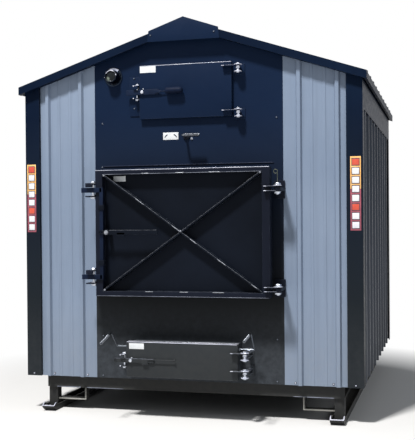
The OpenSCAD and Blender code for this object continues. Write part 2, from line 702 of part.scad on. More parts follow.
module fire_door_gasket() color("#d8d4c8") at_row() difference() {
  y = [-fire_t + rim_d + fit, -fire_t + rim_d + 5 - fit];
  slab([-neck_half - 14, neck_half + 14], y, [neck_z[0] - 12, neck_z[1] + 12]);
  slab([-neck_half + 14, neck_half - 14], [y[0] - 1, y[1] + 1], [neck_z[0] + 14, neck_z[1] - 14]);
}
module fire_hinge_lugs() color(DARK) at_row() {
  for (k = [0, 2]) {
    z = [fire_straps[k + 1][1] + fit, fire_straps[k][0] - fit];
    difference() {
      union() {
        slab([fire_pin_x - 18, fire_pin_x + 18], [fire_pin_y, -fit], z);
        rod_z(18, fire_pin_x, fire_pin_y, z);
        slab([fire_half + 4, fire_pin_x + 18], [-12, -fit], [z[0] - 45, z[1] + 45]);
      }
      rod_z(fire_pin_r + bore_fit, fire_pin_x, fire_pin_y, [z[0] - 1, z[1] + 1]);
    }
  }
}
module fire_hinge_pins() for (k = [0, 2]) {
  top = fire_straps[k][1];
  bottom = fire_straps[k + 1][0];
  rod_z(fire_pin_r, fire_pin_x, fire_pin_y, [bottom - 16, top + 39]);
  hex_z(fire_pin_r * 1.9, fire_pin_x, fire_pin_y, [top + fit, top + 18]);
  hex_z(fire_pin_r * 1.9, fire_pin_x, fire_pin_y, [bottom - 11, bottom - fit]);
}
// A keeper: two lugs joined at the front panel, an upright bolt, and a lip in front of the tongue
module fire_keeper(z) {
  top = z + tongue_h + lock_lift + 4;
  t = fire_t + bar_d + 22;
  y_bolt = -fire_t + keeper_r + 2;
  difference() {
    union() {
      slab([-606, -554], [-8, -fit], [z - 40, top + 20]);
      slab([-600, -554], [-t, -8], [top, top + lug]);
      slab([-600, -554], [-t, -8], [z - 28, z - 20]);
      slab([-600, -554], [-t, -t + lug], [z + tongue_h + lip_gap, top]);
    }
    for (w = [top, z - 28]) rod_z(keeper_r, keeper_x, y_bolt, [w - 1, w + lug + 1]);
  }
}
module fire_keepers() color(DARK) at_row() for (z = tongue_z) fire_keeper(z);
module fire_keeper_bolts() for (z = tongue_z) {
  top = z + tongue_h + lock_lift + 4 + lug;
  y_bolt = -fire_t + keeper_r + 2;
  rod_z(keeper_r, keeper_x, y_bolt, [z - 32, top + 3]);
  hex_z(keeper_r * 1.5, keeper_x, y_bolt, [top, top + 6]);
}
module lock_bar() color(STEEL) at_row() {
  y = [-fire_t - slide_fit - bar_d, -fire_t - slide_fit];
  slab([bar_x - bar_w / 2, bar_x + bar_w / 2], y, [tongue_z[1], tongue_z[0] + tongue_h]);
  for (z = tongue_z) slab([-635, bar_x], y, [z, z + tongue_h]);
  rod_y(4, bar_x + 1.5, [y[0] - bar_d + 2, y[0]], lever_z);
}
module lock_lever() color(STEEL) at_row() {
  y = [-fire_t - bar_d - 12, -fire_t - bar_d - 1 - slide_fit];
  difference() {
    union() {
      slab([bar_x - 12, lever_end_x], y, [lever_z - lever_h / 2, lever_z + lever_h / 2]);
      slab([-399, -347], y, [lever_z - lever_h / 2 - 10, lever_z]);
      rod_y(lever_h / 2 + 4, lever_x, y, lever_z);
    }
    rod_y(keeper_r + bore_fit, lever_x, [y[0] - 1, y[1] + 1], lever_z);
    slab([bar_x + 1.5 - 8, bar_x + 1.5 + 8], [y[0] - 1, y[1] + 1], [lever_z - 4.8, lever_z + 4.8]);
  }
}

// ---- Small doors ----
// A folded pan: face thickness and folded edges of one sheet thickness
module door_pan(half, t, z) difference() {
  slab([-half, half], [-t[1], -t[0]], z);
  slab([-half + sheet, half - sheet], [-t[1] + sheet, -t[0] + 1], [z[0] + sheet, z[1] - sheet]);
}
module door_strap(x0, t0, pin, z) difference() {
  union() {
    slab([x0, pin[0]], [-pin[1] - 13, -t0], z);
    rod_z(13, pin[0], -pin[1], z);
  }
  rod_z(small_pin_r + bore_fit, pin[0], -pin[1], [z[0] - 1, z[1] + 1]);
}
// A wall bracket with one lug under each strap
module wall_bracket(pin, straps, plate_x) difference() {
  union() {
    for (s = straps) {
      slab(plate_x, [-6, -fit], [s - 55, s + 12]);
      for (z = [s - 6 - fit - lug, s - 38]) {
        slab([pin[0] - 12, pin[0] + 12], [-pin[1], -6], [z, z + lug]);
        rod_z(12, pin[0], -pin[1], [z, z + lug]);
      }
    }
  }
  for (s = straps) rod_z(small_pin_r + bore_fit, pin[0], -pin[1], [s - 60, s]);
}
module bracket_pins(pin, straps) for (s = straps) {
  rod_z(small_pin_r, pin[0], -pin[1], [s - 46, s + 4]);
  rod_z(small_pin_r * 1.6, pin[0], -pin[1], [s + fit, s + 8]);
  hex_z(small_pin_r * 1.8, pin[0], -pin[1], [s - 46, s - 38 - fit]);
}
clean_straps = [2154, 1884];
ash_straps = [428, 322];
module clean_door() color(DARK) at_row() {
  door_pan(clean_half, [2, clean_t], [clean_z0, clean_z1]);
  for (s = clean_straps) door_strap(240, clean_t, clean_pin, [s - 6, s]);
  slab([-292, -184], [-clean_t - 1, -clean_t], [2132, 2180]);
  latch_pivot(clean_latch, clean_t);
}
module clean_seal() color("#d8d4c8") at_row()
  slab([-clean_half + sheet + fit, clean_half - sheet - fit], [-clean_t + sheet + fit, -fit],
    [clean_z0 + sheet + fit, clean_z1 - sheet - fit]);
module ash_door() color(DARK) at_row() {
  door_pan(ash_half, [ash_t - ash_d, ash_t], [ash_z0, ash_z1]);
  for (s = ash_straps) door_strap(311, ash_t, ash_pin, [s - 6, s]);
  slab([-332, -234], [-ash_t - 1, -ash_t], [421, 468]);
  latch_pivot(ash_latch, ash_t);
}
module ash_seal() color("#d8d4c8") at_row()
  slab([-ash_half + sheet + fit, ash_half - sheet - fit], [-ash_t + sheet + fit, -ash_t + ash_d + 12 - fit],
    [ash_z0 + sheet + fit, ash_z1 - sheet - fit]);
module small_hinge_lugs() color(DARK) at_row() {
  wall_bracket(clean_pin, clean_straps, [307, 373]);
  wall_bracket(ash_pin, ash_straps, [370, 418]);
}
// ---- Latches of the small doors ----
// Pivot x, pivot z, bar height, tail x, bar end x, keeper bolt x, catch lug x range
clean_latch = [-274, 2016, 33, -379, -169, -311, [-330, -300]];
ash_latch = [-320, 362, 25, -427, -170, -363, [-385, -354]];
latch_d = 8;
module latch_pivot(l, t) {
  rod_y(10, l[0], [-t - 4, -t], l[1]);
  rod_y(5, l[0], [-t - 4 - latch_d - 4, -t], l[1]);
  rod_y(11, l[0], [-t - 4 - latch_d - 8, -t - 4 - latch_d - 1], l[1]);
}
module latch_bar(l, t) {
  y = [-t - 4 - latch_d - fit, -t - 4 - fit];
  difference() {
    union() {
      slab([l[3], l[4]], y, [l[1] - l[2] / 2, l[1] + l[2] / 2]);
      rod_y(l[2] / 2 + 2, l[0], y, l[1]);
    }
    rod_y(5 + bore_fit, l[0], [y[0] - 1, y[1] + 1], l[1]);
  }
}
module latch_catch(l, t, back) {
  top = l[1] + l[2] / 2 + latch_rise;
  low = l[1] - l[2] / 2 - 18;
  reach = t + 4 + latch_d + 12;
  difference() {
    union() {
      slab(l[6], [-reach, -6], [top, top + 6]);
      slab(l[6], [-reach, -6], [low - 6, low]);
      slab(l[6], [-reach, -reach + 5], [l[1] + l[2] / 2 + lip_gap, top]);
      slab([back[0], back[1]], [-6, -fit], [back[2], back[3]]);
    }
    rod_z(5 + bore_fit, l[5], -t + 3, [low - 7, low + 1]);
    rod_z(5 + bore_fit, l[5], -t + 3, [top - 1, top + 7]);
  }
}
module latch_bolt(l, t) {
  top = l[1] + l[2] / 2 + latch_rise + 6;
  rod_z(5, l[5], -t + 3, [l[1] - l[2] / 2 - 30, top + 3]);
  hex_z(5.5, l[5], -t + 3, [top, top + 5]);
}
module clean_latch_lever() color(STEEL) at_row() {
  latch_bar(clean_latch, clean_t);
  y = -clean_t - 16;
  slab([-189, -153], [y, y + 4], [2008, 2024]);
  rod_x(3, [-153, -118], y + 2, 2016);
  rod_x(21, [-118, -27], y + 2 - 13, 2016);
  translate([-27, y + 2 - 13, 2016]) sphere(r = 21);
}
module ash_latch_lever() color(STEEL) at_row() {
  latch_bar(ash_latch, ash_t);
  y = -ash_t - 12;
  slab([-245, -207], [y - 5, y], [340, 373]);
  rod_x(3, [-225, -38], y - 3, 370);
  translate([-38, y - 3, 370]) sphere(r = 7);
}
module small_catches() color(DARK) at_row() {
  latch_catch(clean_latch, clean_t, [-367, -300.5, 1872, 2118]);
  latch_catch(ash_latch, ash_t, [-385, -354, 300, 420]);
}

// ---- Draft shaft with its two cranks ----
// Bend and tip of the left and the right crank, bent by hand and not quite alike
crank_top = [[-185, 533], [-170, 549]];
crank_tip = [[-crank_reach, 487], [-crank_reach, 522]];
module stick(r, x, a, b) {
  run = b - a;
  translate([x, a[0], a[1]]) rotate([-atan2(run[0], run[1]), 0, 0]) cylinder(r = r, h = norm(run));
}
module draft_shaft() color(ZINC) at_row() {
  rod_x(shaft_r, [-crank_x, crank_x], -shaft_t, shaft_z);
  // Bends and tips are balls a little wider than the rods
  rod_r = crank_r - 0.3;
  for (k = [0, 1]) {
    x = (k * 2 - 1) * crank_x;
    stick(rod_r, x, [-shaft_t, shaft_z], crank_top[k]);
    stick(rod_r, x, crank_top[k], crank_tip[k]);
    for (p = [crank_top[k], crank_tip[k]]) translate([x, p[0], p[1]]) sphere(r = crank_r);
    translate([x, -shaft_t, shaft_z]) sphere(r = shaft_r + 0.8);
  }
  both_sides() rod_x(shaft_r + 5, [ash_frame_half + fit, ash_frame_half + 12], -shaft_t, shaft_z);
  flap_half = ash_frame_half - plate - 6;
  slab([-flap_half, flap_half], [-shaft_t - 3, -shaft_t + 3], [ash_frame_z[0] + plate + 10, shaft_z]);
}

// ---- Spring grips ----
// A helix of round wire round an axis along z: one unbroken tube, 8 rings a curl, 6 sides
function coil_ring(i, mean_r, sides) = [for (s = [0:sides - 1]) let (
  a = i * 45, b = s * 360 / sides, r = mean_r + wire_r * cos(b))
  [r * cos(a), r * sin(a), wire_r + i * wire_pitch / 8 + wire_r * sin(b)]];
module coil(mean_r, length) {
  sides = 6;
  rings = floor((length - 2 * wire_r) / wire_pitch * 8);
  points = [for (i = [0:rings]) each coil_ring(i, mean_r, sides)];
  walls = [for (i = [0:rings - 1]) for (s = [0:sides - 1]) let (
    a = i * sides + s, b = i * sides + (s + 1) % sides) each [[a, a + sides, b], [b, a + sides, b + sides]]];
  caps = [for (s = [1:sides - 2]) each [[0, s, s + 1],
    [rings * sides, rings * sides + s + 1, rings * sides + s]]];
  polyhedron(points = points, faces = concat(walls, caps), convexity = 10);
}
function coil_gap(mean_r) = min([for (i = [0:8]) for (p = coil_ring(i, mean_r, 6))
  for (j = [7:9]) for (q = coil_ring(i + j, mean_r, 6)) norm(p - q)]);
echo(crank_coil_gap_mm = coil_gap(crank_r + wire_r + slide_fit));
echo(damper_coil_gap_mm = coil_gap(damper_r + wire_r + slide_fit));
module crank_grips() color(ZINC) at_row() for (k = [0, 1]) {
  run = crank_tip[k] - crank_top[k];
  start = norm(run) - grip_l - 2;
  translate([(k * 2 - 1) * crank_x, crank_top[k][0], crank_top[k][1]]) rotate([-atan2(run[0], run[1]), 0, 0])
    translate([0, 0, start]) coil(crank_r + wire_r + slide_fit, grip_l);
}

// ---- Bypass damper ----
module damper_rod() color(ZINC) at_row() {
  rod_y(damper_r, 0, [-damper_t, throat_y[1] + plate + 6], damper_z);
  translate([0, -damper_t, damper_z]) sphere(r = damper_r);
  rod_x(damper_r - 0.5, [0, damper_grip_l], -damper_t, damper_z);
  translate([damper_grip_l, -damper_t, damper_z]) sphere(r = damper_r - 0.5);
  slab([-throat_half + 3, throat_half - 3], [throat_y[0] + 4, throat_y[1] - 4], [damper_z - 3, damper_z + 3]);
}
module damper_grip() color(ZINC) at_row() {
  translate([damper_r + 2, -damper_t, damper_z]) rotate([0, 90, 0])
    coil(damper_r + wire_r + slide_fit, damper_grip_l - damper_r - 4);
}
module damper_bushing() color(ZINC) at_row() difference() {
  union() {
    rod_y(damper_r + 8, 0, [-14, jacket_y0 - fit], damper_z);
    rod_y(damper_r + 14, 0, [-8, -fit], damper_z);
  }
  rod_y(damper_r + bore_fit, 0, [-15, jacket_y0 + 1], damper_z);
}

// ---- Lamp ----
module lamp_body() color("#d5d8dc") at_row() translate([lamp_x, 0, lamp_z]) rotate([90, 0, 0]) difference() {
  union() {
    translate([0, 0, fit]) cylinder(r = lamp_r, h = 8);
    translate([0, 0, 8]) cylinder(r1 = lamp_r - 6, r2 = lamp_r - 16, h = lamp_l - 20);
    translate([0, 0, lamp_l - 12]) cylinder(r = lamp_r - 14, h = 12);
    translate([-lamp_r - 5, 0, 6]) rotate([0, 90, 0]) cylinder(r = 3, h = 20);
  }
  translate([0, 0, lamp_l - 26]) cylinder(r = lamp_r - 20, h = 30);
}
module lamp_lens() color("#101418") at_row() translate([lamp_x, 0, lamp_z]) rotate([90, 0, 0])
  translate([0, 0, lamp_l - 26 + fit]) cylinder(r = lamp_r - 20 - fit, h = 20);

// ---- Service side ----
module rear_door() color(DARK) at_row() {
  y = house_d + rib_h;
  handle_z = (rear_door_z[0] + rear_door_z[1]) / 2 + 5;
  difference() {
    slab([-rear_door_half, rear_door_half], [house_d + 1, y], rear_door_z);
    slab([-rear_door_half + sheet, rear_door_half - sheet], [house_d, y - sheet],
      [rear_door_z[0] + sheet, rear_door_z[1] - sheet]);
  }
  for (z = rear_hinge_z) difference() {
    union() {
      slab([300, rear_door_half + 30], [y, y + 8], [z - 20, z + 20]);
      rod_z(10, rear_door_half + 30, y + 8, [z - 20, z + 20]);
    }
    rod_z(small_pin_r + bore_fit, rear_door_half + 30, y + 8, [z - 21, z + 21]);
  }
  slab([-360, -240], [y, y + 10], [handle_z - 10, handle_z + 10]);
  slab([-360, -340], [y, y + 34], [handle_z - 20, handle_z + 20]);
}
module rear_hinges() color(DARK) at_row() for (z = rear_hinge_z) {
  y = house_d + rib_h + 8;
  slab([rear_door_half + 24, rear_door_half + 64], [house_d + fit, y - 2], [z - 46, z - 20 - fit]);
  rod_z(10, rear_door_half + 30, y, [z - 46, z - 20 - fit]);
  rod_z(small_pin_r, rear_door_half + 30, y, [z - 46, z + 24]);
}
module blower() color("#4c5157") at_row() {
  back = blower_y + 66;
  difference() {
    rod_y(90, duct_x, [blower_y, back], duct_z);
    rod_y(86, duct_x, [blower_y + 4, back - 4], duct_z);
    rod_y(duct_r, duct_x, [blower_y - 1, blower_y + 5], duct_z);
    rod_y(6 + bore_fit, duct_x, [back - 5, back + 1], duct_z);
  }
  difference() {
    rod_y(46, duct_x, [back, back + 70], duct_z);
    rod_y(6 + bore_fit, duct_x, [back - 1, back + 20], duct_z);
  }
  slab([duct_x - 40, duct_x + 40], [back + 24, back + 60], [floor_top + fit, duct_z - 40]);
}
module blower_wheel() color(ZINC) at_row() {
  rod_y(78, duct_x, [blower_y + 52, blower_y + 56], duct_z);
  rod_y(14, duct_x, [blower_y + 20, blower_y + 52], duct_z);
  rod_y(6, duct_x, [blower_y + 56, blower_y + 76], duct_z);
  for (a = [0:30:330]) translate([duct_x, 0, duct_z]) rotate([0, a, 0])
    slab([44, 76], [blower_y + 14, blower_y + 53], [-1.5, 1.5]);
}
module controller_box() color("#3a3f45") at_row() {
  slab([150, 400], [jacket_y1 + fit, jacket_y1 + 110], [1200, 1500]);
  slab([200, 350], [jacket_y1 + 110, jacket_y1 + 113], [1380, 1450]);
}
port_r = 17;
port_places = [[520, 1800], [520, 420]];
port_end = house_d + rib_h + 6;
module water_port(p) difference() {
  rod_y(port_r + 9, p[0], [jacket_y1 + fit, port_end], p[1]);
  rod_y(port_r, p[0], [jacket_y1, port_end + 1], p[1]);
}
module water_ports() color("#b08d57") at_row() for (p = port_places) water_port(p);

// ---- Fasteners ----
module hinge_pins() color(ZINC) at_row() {
  fire_hinge_pins();
  bracket_pins(clean_pin, clean_straps);
  bracket_pins(ash_pin, ash_straps);
}
module keeper_bolts() color(ZINC) at_row() {
  fire_keeper_bolts();
  latch_bolt(clean_latch, clean_t);
  latch_bolt(ash_latch, ash_t);
}
module panel_screw(x, z, face) rod_y(7, x, [-face - 4, -face - fit], z);
module panel_screws() color(ZINC) at_row() {
  for (p = [[-554, 1834], [-557, 1558], [566, 1833], [-560, 488], [-563, 236], [562, 493], [560, 239],
    [-898, 236], [898, 236], [-670, 235], [670, 235]]) panel_screw(p[0], p[1], 0);
  for (x = [-1, 1]) panel_screw(x * (wall_x - post_w / 2), 236, post_face);
  for (x = [-209, 195]) panel_screw(x, 2360, roof_front + sheet + fit);
  for (z = [1921, 2108]) panel_screw(-337, z, 6);
}

base_frame();
skid_left();
skid_right();
corner_posts();
front_panel();
front_siding_left();
front_siding_right();
side_siding_left();
side_siding_right();
rear_siding();
wall_frame();
roof_panel_left();
roof_panel_right();
ridge_cap();
rake_trims();
eave_trims();
plates();
insulation();
water_jacket();
firebox();
firebrick();
grate();
ash_pan();
fire_neck();
ash_frame();
cleanout_box();
flue_tubes();
smoke_box();
roof_pipes();
fire_door();
fire_door_liner();
fire_door_gasket();
fire_hinge_lugs();
fire_keepers();
lock_bar();
lock_lever();
clean_door();
clean_seal();
clean_latch_lever();
ash_door();
ash_seal();
ash_latch_lever();
small_hinge_lugs();
small_catches();
hinge_pins();
keeper_bolts();
draft_shaft();
crank_grips();
damper_rod();
damper_grip();
damper_bushing();
lamp_body();
lamp_lens();
rear_door();
rear_hinges();
blower();
blower_wheel();
controller_box();
water_ports();
panel_screws();
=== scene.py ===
import math
import random
from collections import namedtuple

import bmesh
import bpy
from mathutils import Matrix, Vector


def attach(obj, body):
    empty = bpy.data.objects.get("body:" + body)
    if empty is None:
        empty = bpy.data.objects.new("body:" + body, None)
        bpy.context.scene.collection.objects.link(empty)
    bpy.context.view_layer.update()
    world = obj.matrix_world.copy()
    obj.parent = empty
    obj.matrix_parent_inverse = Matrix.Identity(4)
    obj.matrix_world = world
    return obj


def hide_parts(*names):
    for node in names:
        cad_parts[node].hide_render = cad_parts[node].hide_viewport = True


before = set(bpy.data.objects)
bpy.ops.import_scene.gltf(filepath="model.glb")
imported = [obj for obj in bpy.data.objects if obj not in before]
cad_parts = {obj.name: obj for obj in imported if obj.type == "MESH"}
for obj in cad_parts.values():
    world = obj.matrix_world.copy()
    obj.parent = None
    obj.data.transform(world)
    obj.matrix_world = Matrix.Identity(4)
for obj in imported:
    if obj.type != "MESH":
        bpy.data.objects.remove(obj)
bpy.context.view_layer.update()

# ---- The yard and the camera ----
# The boiler stands on a plain pale floor. The picture is taken by hand at chest height, some
# five metres in front of the doors and to their right, with a short telephoto lens.
lens = bpy.data.cameras.new("lens")
lens.lens = 74.4
lens.sensor_width = 36
lens.shift_x = 0.0166
lens.shift_y = 0.0221
camera = bpy.data.objects.new("camera", lens)
camera.matrix_world = Matrix((
    (0.963983, 0.005162, 0.265913, 1.57505),
    (0.265846, 0.010940, -0.963953, -6.40276),
    (-0.007885, 0.999927, 0.009174, 1.20982),
    (0, 0, 0, 1)))
bpy.context.scene.collection.objects.link(camera)
bpy.context.scene.camera = camera
bpy.context.scene.view_settings.view_transform = "Standard"


def tone(*card):
    """A colour as a paint card gives it: red, green and blue, 0 to 255."""
    return tuple(((c / 255 + 0.055) / 1.055) ** 2.4 if c > 10 else c / 3295 for c in card) + (1,)


def shader(tree, kind, feeds=None, **settings):
    """One node of a material. A feed is a number, a colour or another node's socket."""
    made = tree.nodes.new("ShaderNode" + kind)
    for name, value in settings.items():
        setattr(made, name, value)
    for name, value in (feeds or {}).items():
        if isinstance(value, bpy.types.NodeSocket):
            tree.links.new(value, made.inputs[name])
        else:
            made.inputs[name].default_value = value
    return made


def noise(tree, place, scale, detail, **more):
    """Cloudy noise of a scale and a fineness."""
    feeds = {"Vector": place, "Scale": scale, "Detail": detail, **more}
    return shader(tree, "TexNoise", feeds).outputs["Fac"]


def span(tree, value, low, high, start=0.0, end=1.0):
    """Where a value lies between two limits, told between two other numbers."""
    feeds = {"Value": value, "From Min": low, "From Max": high, "To Min": start, "To Max": end}
    return shader(tree, "MapRange", feeds).outputs["Result"]


def times(tree, value, share):
    """Two values multiplied."""
    return shader(tree, "Math", {0: value, 1: share}, operation="MULTIPLY").outputs[0]


def over(tree, share, under, upper):
    """One colour laid thinly over another."""
    return shader(tree, "MixRGB", {"Fac": share, "Color1": under, "Color2": upper}).outputs["Color"]


def seen_directly(tree):
    """1 where the camera, a reflection or a view through glass looks at the surface."""
    path = shader(tree, "LightPath").outputs
    seen = path["Is Camera Ray"]
    for ray in ("Is Glossy Ray", "Is Transmission Ray"):
        seen = shader(tree, "Math", {0: seen, 1: path[ray]}, operation="MAXIMUM").outputs[0]
    return seen


world = bpy.data.worlds.new("sky")
bpy.context.scene.world = world
world.use_nodes = True
sky = world.node_tree
sky.nodes.clear()
sky_light = shader(sky, "Background", {"Color": (0.92, 0.96, 1, 1), "Strength": 0.27})
sky_seen = shader(sky, "Background", {"Color": (1, 1, 1, 1), "Strength": 1.0})
sky_mix = shader(sky, "MixShader", {0: seen_directly(sky), 1: sky_light.outputs[0], 2: sky_seen.outputs[0]})
shader(sky, "OutputWorld", {"Surface": sky_mix.outputs[0]})

yard = bmesh.new()
bmesh.ops.create_grid(yard, x_segments=2, y_segments=2, size=40)
yard_mesh = bpy.data.meshes.new("floor")
yard.to_mesh(yard_mesh)
floor = bpy.data.objects.new("floor", yard_mesh)
bpy.context.scene.collection.objects.link(floor)
pale = bpy.data.materials.new("pale_floor")
pale.use_nodes = True
ground = pale.node_tree
ground.nodes.clear()
spot = shader(ground, "TexCoord").outputs["Object"]
away = shader(ground, "VectorMath", {0: spot}, operation="LENGTH").outputs["Value"]
shade = shader(ground, "ValToRGB", {"Fac": noise(ground, spot, 160, 4)})
shade.color_ramp.elements[0].color = (0.62, 0.62, 0.62, 1)
shade.color_ramp.elements[1].color = (0.72, 0.72, 0.72, 1)
matte = shader(ground, "BsdfDiffuse", {"Color": shade.outputs["Color"]})
white = shader(ground, "Emission", {"Color": (1, 1, 1, 1), "Strength": 1.0})
fade = times(ground, span(ground, away, 1.6, 2.6), seen_directly(ground))
blend = shader(ground, "MixShader", {0: fade, 1: matte.outputs[0], 2: white.outputs[0]})
shader(ground, "OutputMaterial", {"Surface": blend.outputs[0]})
floor.data.materials.append(pale)


def lamp_sheet(name, place, aim, width, height, power, colour):
    """A large soft lamp that hangs at a place and faces another."""
    light = bpy.data.lights.new(name, "AREA")
    light.shape = "RECTANGLE"
    light.size, light.size_y = width, height
    light.energy = power
    light.color = colour
    hung = bpy.data.objects.new(name, light)
    hung.location = place
    hung.rotation_mode = "QUATERNION"
    hung.rotation_quaternion = (Vector(aim) - Vector(place)).to_track_quat("-Z", "Y")
    bpy.context.scene.collection.objects.link(hung)
    hung.visible_camera = False


lamp_sheet("high_lamp", (-1.5, -6.7, 11.6), (0, -1.1, 1.2), 1.3, 1.3, 2350, (1, 0.98, 0.95))
lamp_sheet("right_lamp", (7.5, -1.5, 4.5), (1.0, 0, 1.2), 4, 4, 80, (0.95, 0.97, 1))

# ---- Base and skids ----
# A welded frame of channels on two runners with turned-up noses, square legs and fork pockets.
# The steel is blasted and powder coated black; dust settles on it and the edges rub bright.


def skin(name, deep, light, rough=0.42, metal=0.0, gloss=0.3, patch=1.3, grain=0.00012,
               grain_size=420.0, wave=0.0, foot_dust=0.0, dust_and_sheen=(122, 120, 114), rub=(96, 100, 106),
               rub_share=0.35, ease=0.0015, streak=0.0, top_dust_and_sheen=0.0, top_dust_and_sheen_from=0.75, foot=None):
    """A finish: tone drifting between two colours, streaks, dust low down, rubbed edges; upward faces turn
    lighter, with dust in some finishes and a painted sheen in others; and, where a foot tone is given, a fade
    to it below 1.9 m, where the painted sky reflection of the tones above ends.
    """
    made = bpy.data.materials.new(name)
    made.use_nodes = True
    tree = made.node_tree
    surface = tree.nodes["Principled BSDF"]
    place = shader(tree, "TexCoord").outputs["Object"]
    patches = noise(tree, place, patch, 5, Roughness=0.6)
    colour = shader(tree, "ValToRGB", {"Fac": patches})
    colour.color_ramp.elements[0].position = 0.3
    colour.color_ramp.elements[1].position = 0.7
    colour.color_ramp.elements[0].color = tone(*deep)
    colour.color_ramp.elements[1].color = tone(*light)
    colour = colour.outputs["Color"]
    if streak:
        runs = shader(tree, "Mapping", {"Vector": place, "Scale": (11, 11, 0.7)}).outputs["Vector"]
        runs = span(tree, noise(tree, runs, 2.2, 4), 0.5, 0.72, end=streak)
        colour = over(tree, runs, colour, tone(*[c * 0.78 for c in deep]))
    fine = noise(tree, place, 26, 6, Roughness=0.65)
    height = shader(tree, "SeparateXYZ", {"Vector": place}).outputs["Z"]
    # Where a foot tone is given, the tones above stand for painted sky reflection, which fades out below 1.9
    # m into the foot tone.
    if foot:
        colour = over(tree, span(tree, height, 1.9, 0.7), colour, tone(*foot))
    if foot_dust:
        low = span(tree, height, 0.36, 0.74, foot_dust, 0)
        colour = over(tree, times(tree, low, fine), colour, tone(*dust_and_sheen))
    facing = shader(tree, "NewGeometry").outputs["Normal"]
    # Upward faces turn lighter: real dust on the firebox plate and grate, a painted highlight on the lamp's
    # chrome, a painted sheen on the latch steel and the handle.
    if top_dust_and_sheen:
        up = shader(tree, "SeparateXYZ", {"Vector": facing}).outputs["Z"]
        up = span(tree, up, top_dust_and_sheen_from, 1, end=top_dust_and_sheen)
        colour = over(tree, times(tree, up, fine), colour, tone(*dust_and_sheen))
    eased = shader(tree, "Bevel", {"Radius": ease}, samples=4).outputs["Normal"]
    if rub_share:
        bend = shader(tree, "VectorMath", {0: eased, 1: facing}, operation="DOT_PRODUCT").outputs["Value"]
        edge = times(tree, span(tree, bend, 0.97, 0.8), span(tree, fine, 0.42, 0.6, end=rub_share))
        colour = over(tree, edge, colour, tone(*rub))
    tree.links.new(colour, surface.inputs["Base Color"])
    tree.links.new(span(tree, fine, 0.3, 0.7, rough - 0.07, rough + 0.09), surface.inputs["Roughness"])
    surface.inputs["Metallic"].default_value = metal
    surface.inputs["Specular IOR Level"].default_value = gloss
    if wave:
        eased = shader(tree, "Bump", {"Height": noise(tree, place, 2.4, 1), "Normal": eased, "Strength": 1.0,
                                      "Distance": wave}).outputs["Normal"]
    peel = shader(tree, "Bump", {"Height": noise(tree, place, grain_size, 2), "Normal": eased,
                                 "Strength": 0.6, "Distance": grain})
    tree.links.new(peel.outputs["Normal"], surface.inputs["Normal"])
    return made


def strip_skin(name, deep, light, ease=0.0008, grain=0.0002, **more):
    """The skin of a narrow strip: mottled, without wear of its own. The edge strips wear it as painted
    highlights; the reflective tape uses it too.
    """
    return skin(name, deep, light, rub_share=0, ease=ease, grain=grain, **more)


def dress(finish, *names):
    """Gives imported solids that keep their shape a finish."""
    for name in names:
        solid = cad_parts[name].data
        solid.materials.clear()
        solid.materials.append(finish)


# The black coat's navy tone is painted sky reflection; below 1.9 m it fades to the plain dark foot tone.
black_coat = skin("black_coat", (12, 26, 49), (17, 32, 56), rough=0.45, gloss=0.06, foot_dust=0.86,
                  dust_and_sheen=(76, 81, 88), rub=(104, 112, 128), rub_share=0.5, wave=0.006, top_dust_and_sheen=0.35,
                  foot=(28, 30, 32))
dress(skin("base_coat", (28, 30, 33), (38, 40, 43), rough=0.5, gloss=0.12, foot_dust=0.3, dust_and_sheen=(92, 90, 84),
           rub=(132, 134, 136), rub_share=0.7, top_dust_and_sheen=0.6), "base_frame", "skid_left", "skid_right")
# Two light skins for thin strips laid along edges, folds and small parts: painted highlights, one faint and
# one bright.
painted_faint_highlight = strip_skin("painted_faint_highlight", (64, 69, 82), (138, 143, 158), rough=0.4, metal=0.2, gloss=0.4, patch=11)
painted_highlight = strip_skin("painted_highlight", (160, 165, 184), (234, 236, 250), rough=0.35, metal=0.3, gloss=0.5,
                        patch=9)

# Pieces are drawn in millimetres, and their depth is counted from the face of the front panel.
PANEL_FACE = 995.5
DRAWING = Matrix.Scale(0.001, 4) @ Matrix.Translation((0, -PANEL_FACE, 0))


def painted(shape, known, paint):
    """Gives a shape's new faces one of its finishes, by number."""
    for face in shape.faces:
        if face not in known:
            face.material_index = paint


def block(shape, x, y, z, edge=1.5, turn=None, paint=0):
    """A bar or plate with eased edges, in millimetres from the face of the front panel."""
    size = Vector((x[1] - x[0], y[1] - y[0], z[1] - z[0]))
    middle = Vector((x[1] + x[0], y[1] + y[0], z[1] + z[0])) / 2
    place = Matrix.Translation(middle) @ (turn or Matrix.Identity(4)) @ Matrix.Diagonal((*size, 1))
    known = set(shape.faces)
    corners = bmesh.ops.create_cube(shape, size=1, matrix=place)["verts"]
    if edge:
        bmesh.ops.bevel(shape, geom=list({e for v in corners for e in v.link_edges}), affect="EDGES",
                        offset=min(edge, min(size) * 0.4), segments=2, profile=0.6, clamp_overlap=True)
    painted(shape, known, paint)


def turned(shape, steps, centre, axis="z", sides=32, paint=0, start=0.0):
    """A lathe-turned or hexagonal part: steps of (radius, distance along the axis) from a centre."""
    known = set(shape.faces)
    rings = []
    for radius, along in steps:
        ring = []
        for k in range(sides if radius > 0 else 1):
            a = math.radians(start) + math.tau * k / sides
            u, v = radius * math.cos(a), radius * math.sin(a)
            spot = {"x": (along, u, v), "y": (u, along, v), "z": (u, v, along)}[axis]
            ring.append(shape.verts.new(Vector(centre) + Vector(spot)))
        rings.append(ring)
    for low, high in zip(rings, rings[1:]):
        for k in range(sides):
            near, far = k, (k + 1) % sides
            if len(low) == 1 and len(high) > 1:
                shape.faces.new((low[0], high[near], high[far]))
            elif len(high) == 1 and len(low) > 1:
                shape.faces.new((low[near], low[far], high[0]))
            elif len(low) > 1:
                shape.faces.new((low[near], low[far], high[far], high[near]))
    for ring in (rings[0], rings[-1]):
        if len(ring) > 2:
            shape.faces.new(ring)
    painted(shape, known, paint)


